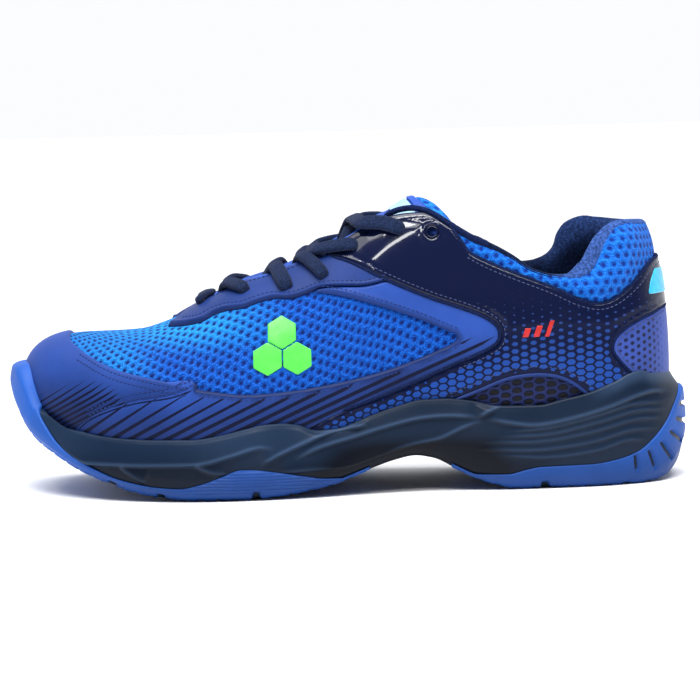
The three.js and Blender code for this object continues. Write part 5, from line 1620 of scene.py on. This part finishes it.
columns, crest = midsole_wall()
rows = columns.shape[1]
vertices = columns.reshape(-1, 3)
faces = np.vstack([
    (grid(SOLE_COLUMNS + 1, rows) % len(vertices))[:, ::-1],
    across_shoe(rows, 0)[:, ::-1],
    across_shoe(rows, rows - 1),
])
x, z = vertices[:, 0], vertices[:, 2]
# Painted shade on the foam: low down at the front, in the arch, and from the midfoot back away from the crests.
painted_shade = 0.45 * step(24, 12, z) * step(70, 40, x) + 0.5 * step(27, 17, z) * step(-20, 5, x) * step(75, 50, x)
painted_shade += 0.52 * step(-30, 15, x) * (1 - crest) + 0.3 * step(16, 9, z) * step(95, 70, x)
# Painted highlight on the top edge of the heel.
crest = np.maximum(crest, step(0, 6, z - SIDEWALL_TOP(x) + 6) * step(98, 116, x))
midsole = make_object("midsole_foam_body", vertices, faces, [midsole_foam],
                      values={"crest": crest, "painted_shade": np.clip(painted_shade, 0, 1)})
settle(midsole, "shoe", "midsole_foam", "midsole")

HEEL_CENTRE = (118, 38)
HEEL_GROOVES = (-84, -70, -56, -42, -28.5, -15)
SIDE_SLITS = (-101, -80, -40, 82)
PIVOT = (-62, 8)
OUTSOLE_COLUMNS, OUTSOLE_ACROSS = 1500, 60


def rubber_wall(rows):
    """The outsole's outer wall up to the rubber line, its top edge's inner line, and the x of each station."""
    foot, _, _, _, outward = wall(even_turns(OUTSOLE_COLUMNS))
    levels = np.linspace(0, 1, rows)
    edge_x = (foot + outward * (6.4 + SOLE_END_FLARE(foot[:, 0]))[:, None])[:, 0]
    low, high = sole_heights(edge_x)
    top_share = np.clip((RUBBER_TOP(edge_x) - low) / (high - low), 0.02, 1.0)
    share = levels[None, :] * top_share[:, None]
    p = foot[:, None, :] + outward[:, None, :] * (sole_outset(share, foot[:, 0]) + 0.55)[:, :, None]
    p[..., 2] = low[:, None] + share * (high - low)[:, None]
    x, z = p[..., 0], p[..., 2]
    stand = 0.16 * np.sin(z * 2 * np.pi / 1.25) * step(-78, -62, x) * step(8, -4, x) * step(0.06, 0.2, levels)
    back, height = edge_x[:, None] - HEEL_CENTRE[0], z - HEEL_CENTRE[1]
    radius, angle = np.hypot(back, height), np.degrees(np.arctan2(height, back))
    for centre in HEEL_GROOVES:
        across = ridge(np.radians(angle - centre) * radius, 0, 1.0, 4)
        stand -= 2.4 * across * step(24.5, 27.5, radius) * step(0.06, 0.14, share) * step(0.99, 0.93, levels)
    for centre in SIDE_SLITS:
        stand -= 3.0 * ridge(x, centre, 1.6, 4) * step(0.35, 0.0, levels)
    stand -= 0.5 * (1 - rim_profile(1 - levels, 0.12))
    p = p + outward[:, None, :] * stand[:, :, None]
    top_in = p[:, -1] - outward * (1.6 - 0.4 * step(-118, -132, foot[:, 0]))[:, None]
    top_in[:, 2] += 0.1
    return p, top_in, edge_x


def tread(x, y):
    """Depth of the tread's grooves under the foot."""
    across = 0.5 - 0.5 * np.cos(2 * np.pi * (x + 0.45 * np.abs(y)) / 7.5)
    groove = step(0.82, 0.96, across) * 1.5
    for centre in (*SIDE_SLITS, 117):
        groove = np.maximum(groove, 2.6 * ridge(x, centre, 1.9, 4))
    pivot = np.hypot(x - PIVOT[0], y - PIVOT[1])
    rings = step(0.8, 0.95, 0.5 - 0.5 * np.cos(2 * np.pi * pivot / 5.5)) * 1.3
    inside = step(20, 17, pivot)
    return groove * (1 - inside) + rings * inside


def outsole_end(rows, across, narrow):
    """Triangles that close one end of an outsole's U-shaped section."""
    left = np.arange(rows)[::-1]
    ground = rows + np.arange(across)
    right = rows + across + np.arange(rows)
    top_right = 2 * rows + across
    over = top_right + across - np.arange(across)
    top_left = top_right + across + 1

    def fan(apex, *ring):
        ring = np.concatenate([np.atleast_1d(part) for part in ring])
        return np.stack([np.full(len(ring) - 1, apex), ring[:-1], ring[1:]], 1)

    if narrow:
        walls = [np.stack([left[1:], left[:-1], right[:-1]], 1), np.stack([left[1:], right[:-1], right[1:]], 1)]
        top = fan(left[-1], right[-1], top_right, over[::-1], top_left)
        return np.vstack([*walls, fan(left[0], ground, right[0]), top])
    sheet = between(ground, over)
    near = fan(top_left, left[::-1], ground[0], over[0])
    return np.vstack([sheet, near, fan(top_right, over[-1], ground[-1], right)])


def make_outsole(name, x_low, x_high, rows, node):
    """An outsole: a skin over the sole's wall up to the rubber line, wrapped under the foot."""
    p, top_in, edge_x = rubber_wall(rows)
    t = np.linspace(0, 1, OUTSOLE_ACROSS + 1)[1:-1]
    sections = []
    for i in range(1, OUTSOLE_COLUMNS // 2):
        if not x_low < edge_x[i] < x_high:
            continue
        left, right = p[i], p[-i]
        ground = left[0] + (right[0] - left[0]) * t[:, None]
        fade = step(0, 0.06, np.minimum(t, 1 - t))
        ground[:, 2] = GROUND(ground[:, 0]) + tread(ground[:, 0], ground[:, 1]) * fade
        over = ground[::-1].copy()
        over[:, 2] = GROUND(over[:, 0]) + 3.4
        sections.append(np.vstack([left[::-1], ground, right, top_in[-i], over, top_in[i]]))
    sections = np.array(sections)
    count, around = sections.shape[:2]
    faces = [grid(count, around, wrap=True)]
    for row in (0, count - 1):
        narrow = np.linalg.norm(sections[row][0] - sections[row][2 * rows + OUTSOLE_ACROSS - 2]) < 8
        end = row * around + outsole_end(rows, OUTSOLE_ACROSS - 1, narrow)
        faces.append(end if row else end[:, ::-1])
    obj = make_object(name, sections.reshape(-1, 3), np.vstack(faces), [outsole_rubber])
    settle(obj, "shoe", "outsole_rubber", node)


make_outsole("forefoot_outsole_rubber", -200, 8, 44, "forefoot_outsole")
make_outsole("heel_outsole_rubber", 42, 200, 72, "heel_outsole")

# ---------------------------------------------------------------- camera, light, floor

DISTANCE_MM, TARGET = 1100.0, Vector((0, 0, 62))
ELEVATION, ROLL = math.radians(5), math.radians(1.5)
PIXELS, MM_PER_PIXEL = 700, 0.4357
SENSOR_MM = 36


def add_object(name, data):
    obj = bpy.data.objects.new(name, data)
    bpy.context.scene.collection.objects.link(obj)
    return obj


def set_camera():
    back = Vector((0, -math.cos(ELEVATION), math.sin(ELEVATION)))
    level = Vector((1, 0, 0))
    upright = back.cross(level)
    right = math.cos(ROLL) * level - math.sin(ROLL) * upright
    up = math.sin(ROLL) * level + math.cos(ROLL) * upright
    camera = add_object("camera", bpy.data.cameras.new("camera"))
    matrix = Matrix((right, up, back)).transposed().to_4x4()
    matrix.translation = (TARGET + back * DISTANCE_MM) * MM
    camera.matrix_world = matrix
    camera.data.sensor_width = SENSOR_MM
    camera.data.lens = SENSOR_MM * DISTANCE_MM / (PIXELS * MM_PER_PIXEL)
    camera.data.shift_x, camera.data.shift_y = 2 / PIXELS, -11 / PIXELS
    bpy.context.scene.camera = camera


def add_light(name, place, size, energy, aim):
    data = bpy.data.lights.new(name, "AREA")
    data.shape = "RECTANGLE"
    data.size, data.size_y = size
    data.energy = energy
    light = add_object(name, data)
    light.location = Vector(place) * MM
    light.rotation_euler = (Vector(aim) - Vector(place)).to_track_quat("-Z", "Y").to_euler()


set_camera()
add_light("key", (-250, -250, 1000), (0.9, 0.5), 5, (0, 0, 50))
add_light("low_strip", (60, -520, 590), (0.5, 0.03), 1.1, (20, 0, 80))
add_light("top_strip", (120, -300, 700), (0.7, 0.07), 3.5, (30, 0, 60))
sun = add_object("sky_panel", bpy.data.lights.new("sky_panel", "SUN"))
sun.data.energy = 2.15
sun.data.angle = math.radians(50)
sun.rotation_euler = Vector((0.08, 0.22, -1)).to_track_quat("-Z", "Y").to_euler()

# The sky is bright behind the shoe and dim in front of it, so the glossy panels keep their dark colour.
world = bpy.data.worlds.new("world")
bpy.context.scene.world = world
world.use_nodes = True
sky = world.node_tree
direction = sky.nodes.new("ShaderNodeTexCoord")
facing_back = sky.nodes.new("ShaderNodeVectorMath")
facing_back.operation = "DOT_PRODUCT"
facing_back.inputs[1].default_value = (0, 1, 0)
sky.links.new(direction.outputs[0], facing_back.inputs[0])
bright = sky.nodes.new("ShaderNodeMapRange")
bright.interpolation_type = "SMOOTHSTEP"
for key, value in (("From Min", -0.55), ("From Max", 0.6), ("To Min", 0.14), ("To Max", 1.0)):
    bright.inputs[key].default_value = value
sky.links.new(facing_back.outputs[1], bright.inputs["Value"])
sky.links.new(bright.outputs[0], sky.nodes["Background"].inputs[1])
sky.nodes["Background"].inputs[0].default_value = (0.97, 0.98, 1, 1)

paper = Finish("floor_paper", (0.98, 0.985, 0.99), 0.9)
paper.set("Base Color", paper.mix(paper.ramp(paper.noise(4.0), 0.3, 0.7), (0.97, 0.975, 0.98), (0.985, 0.99, 0.995)))
FLOOR_REACH, FLOOR_Z = 30000.0, -0.4
corners = [(i * FLOOR_REACH, j * FLOOR_REACH, FLOOR_Z) for i, j in ((-1, -1), (1, -1), (1, 1), (-1, 1))]
make_object("floor", corners, [(0, 1, 2, 3)], [paper.material])
bpy.context.scene.view_settings.view_transform = "Standard"

for node, material in (
    ("strobel_board", board_fabric), ("toe_puff", stiffener_board), ("heel_counter", stiffener_board),
    ("midfoot_shank", shank_plastic), ("heel_cushion", gel), ("forefoot_cushion", gel),
):
    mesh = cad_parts[node].data
    mesh.materials.clear()
    mesh.materials.append(material)
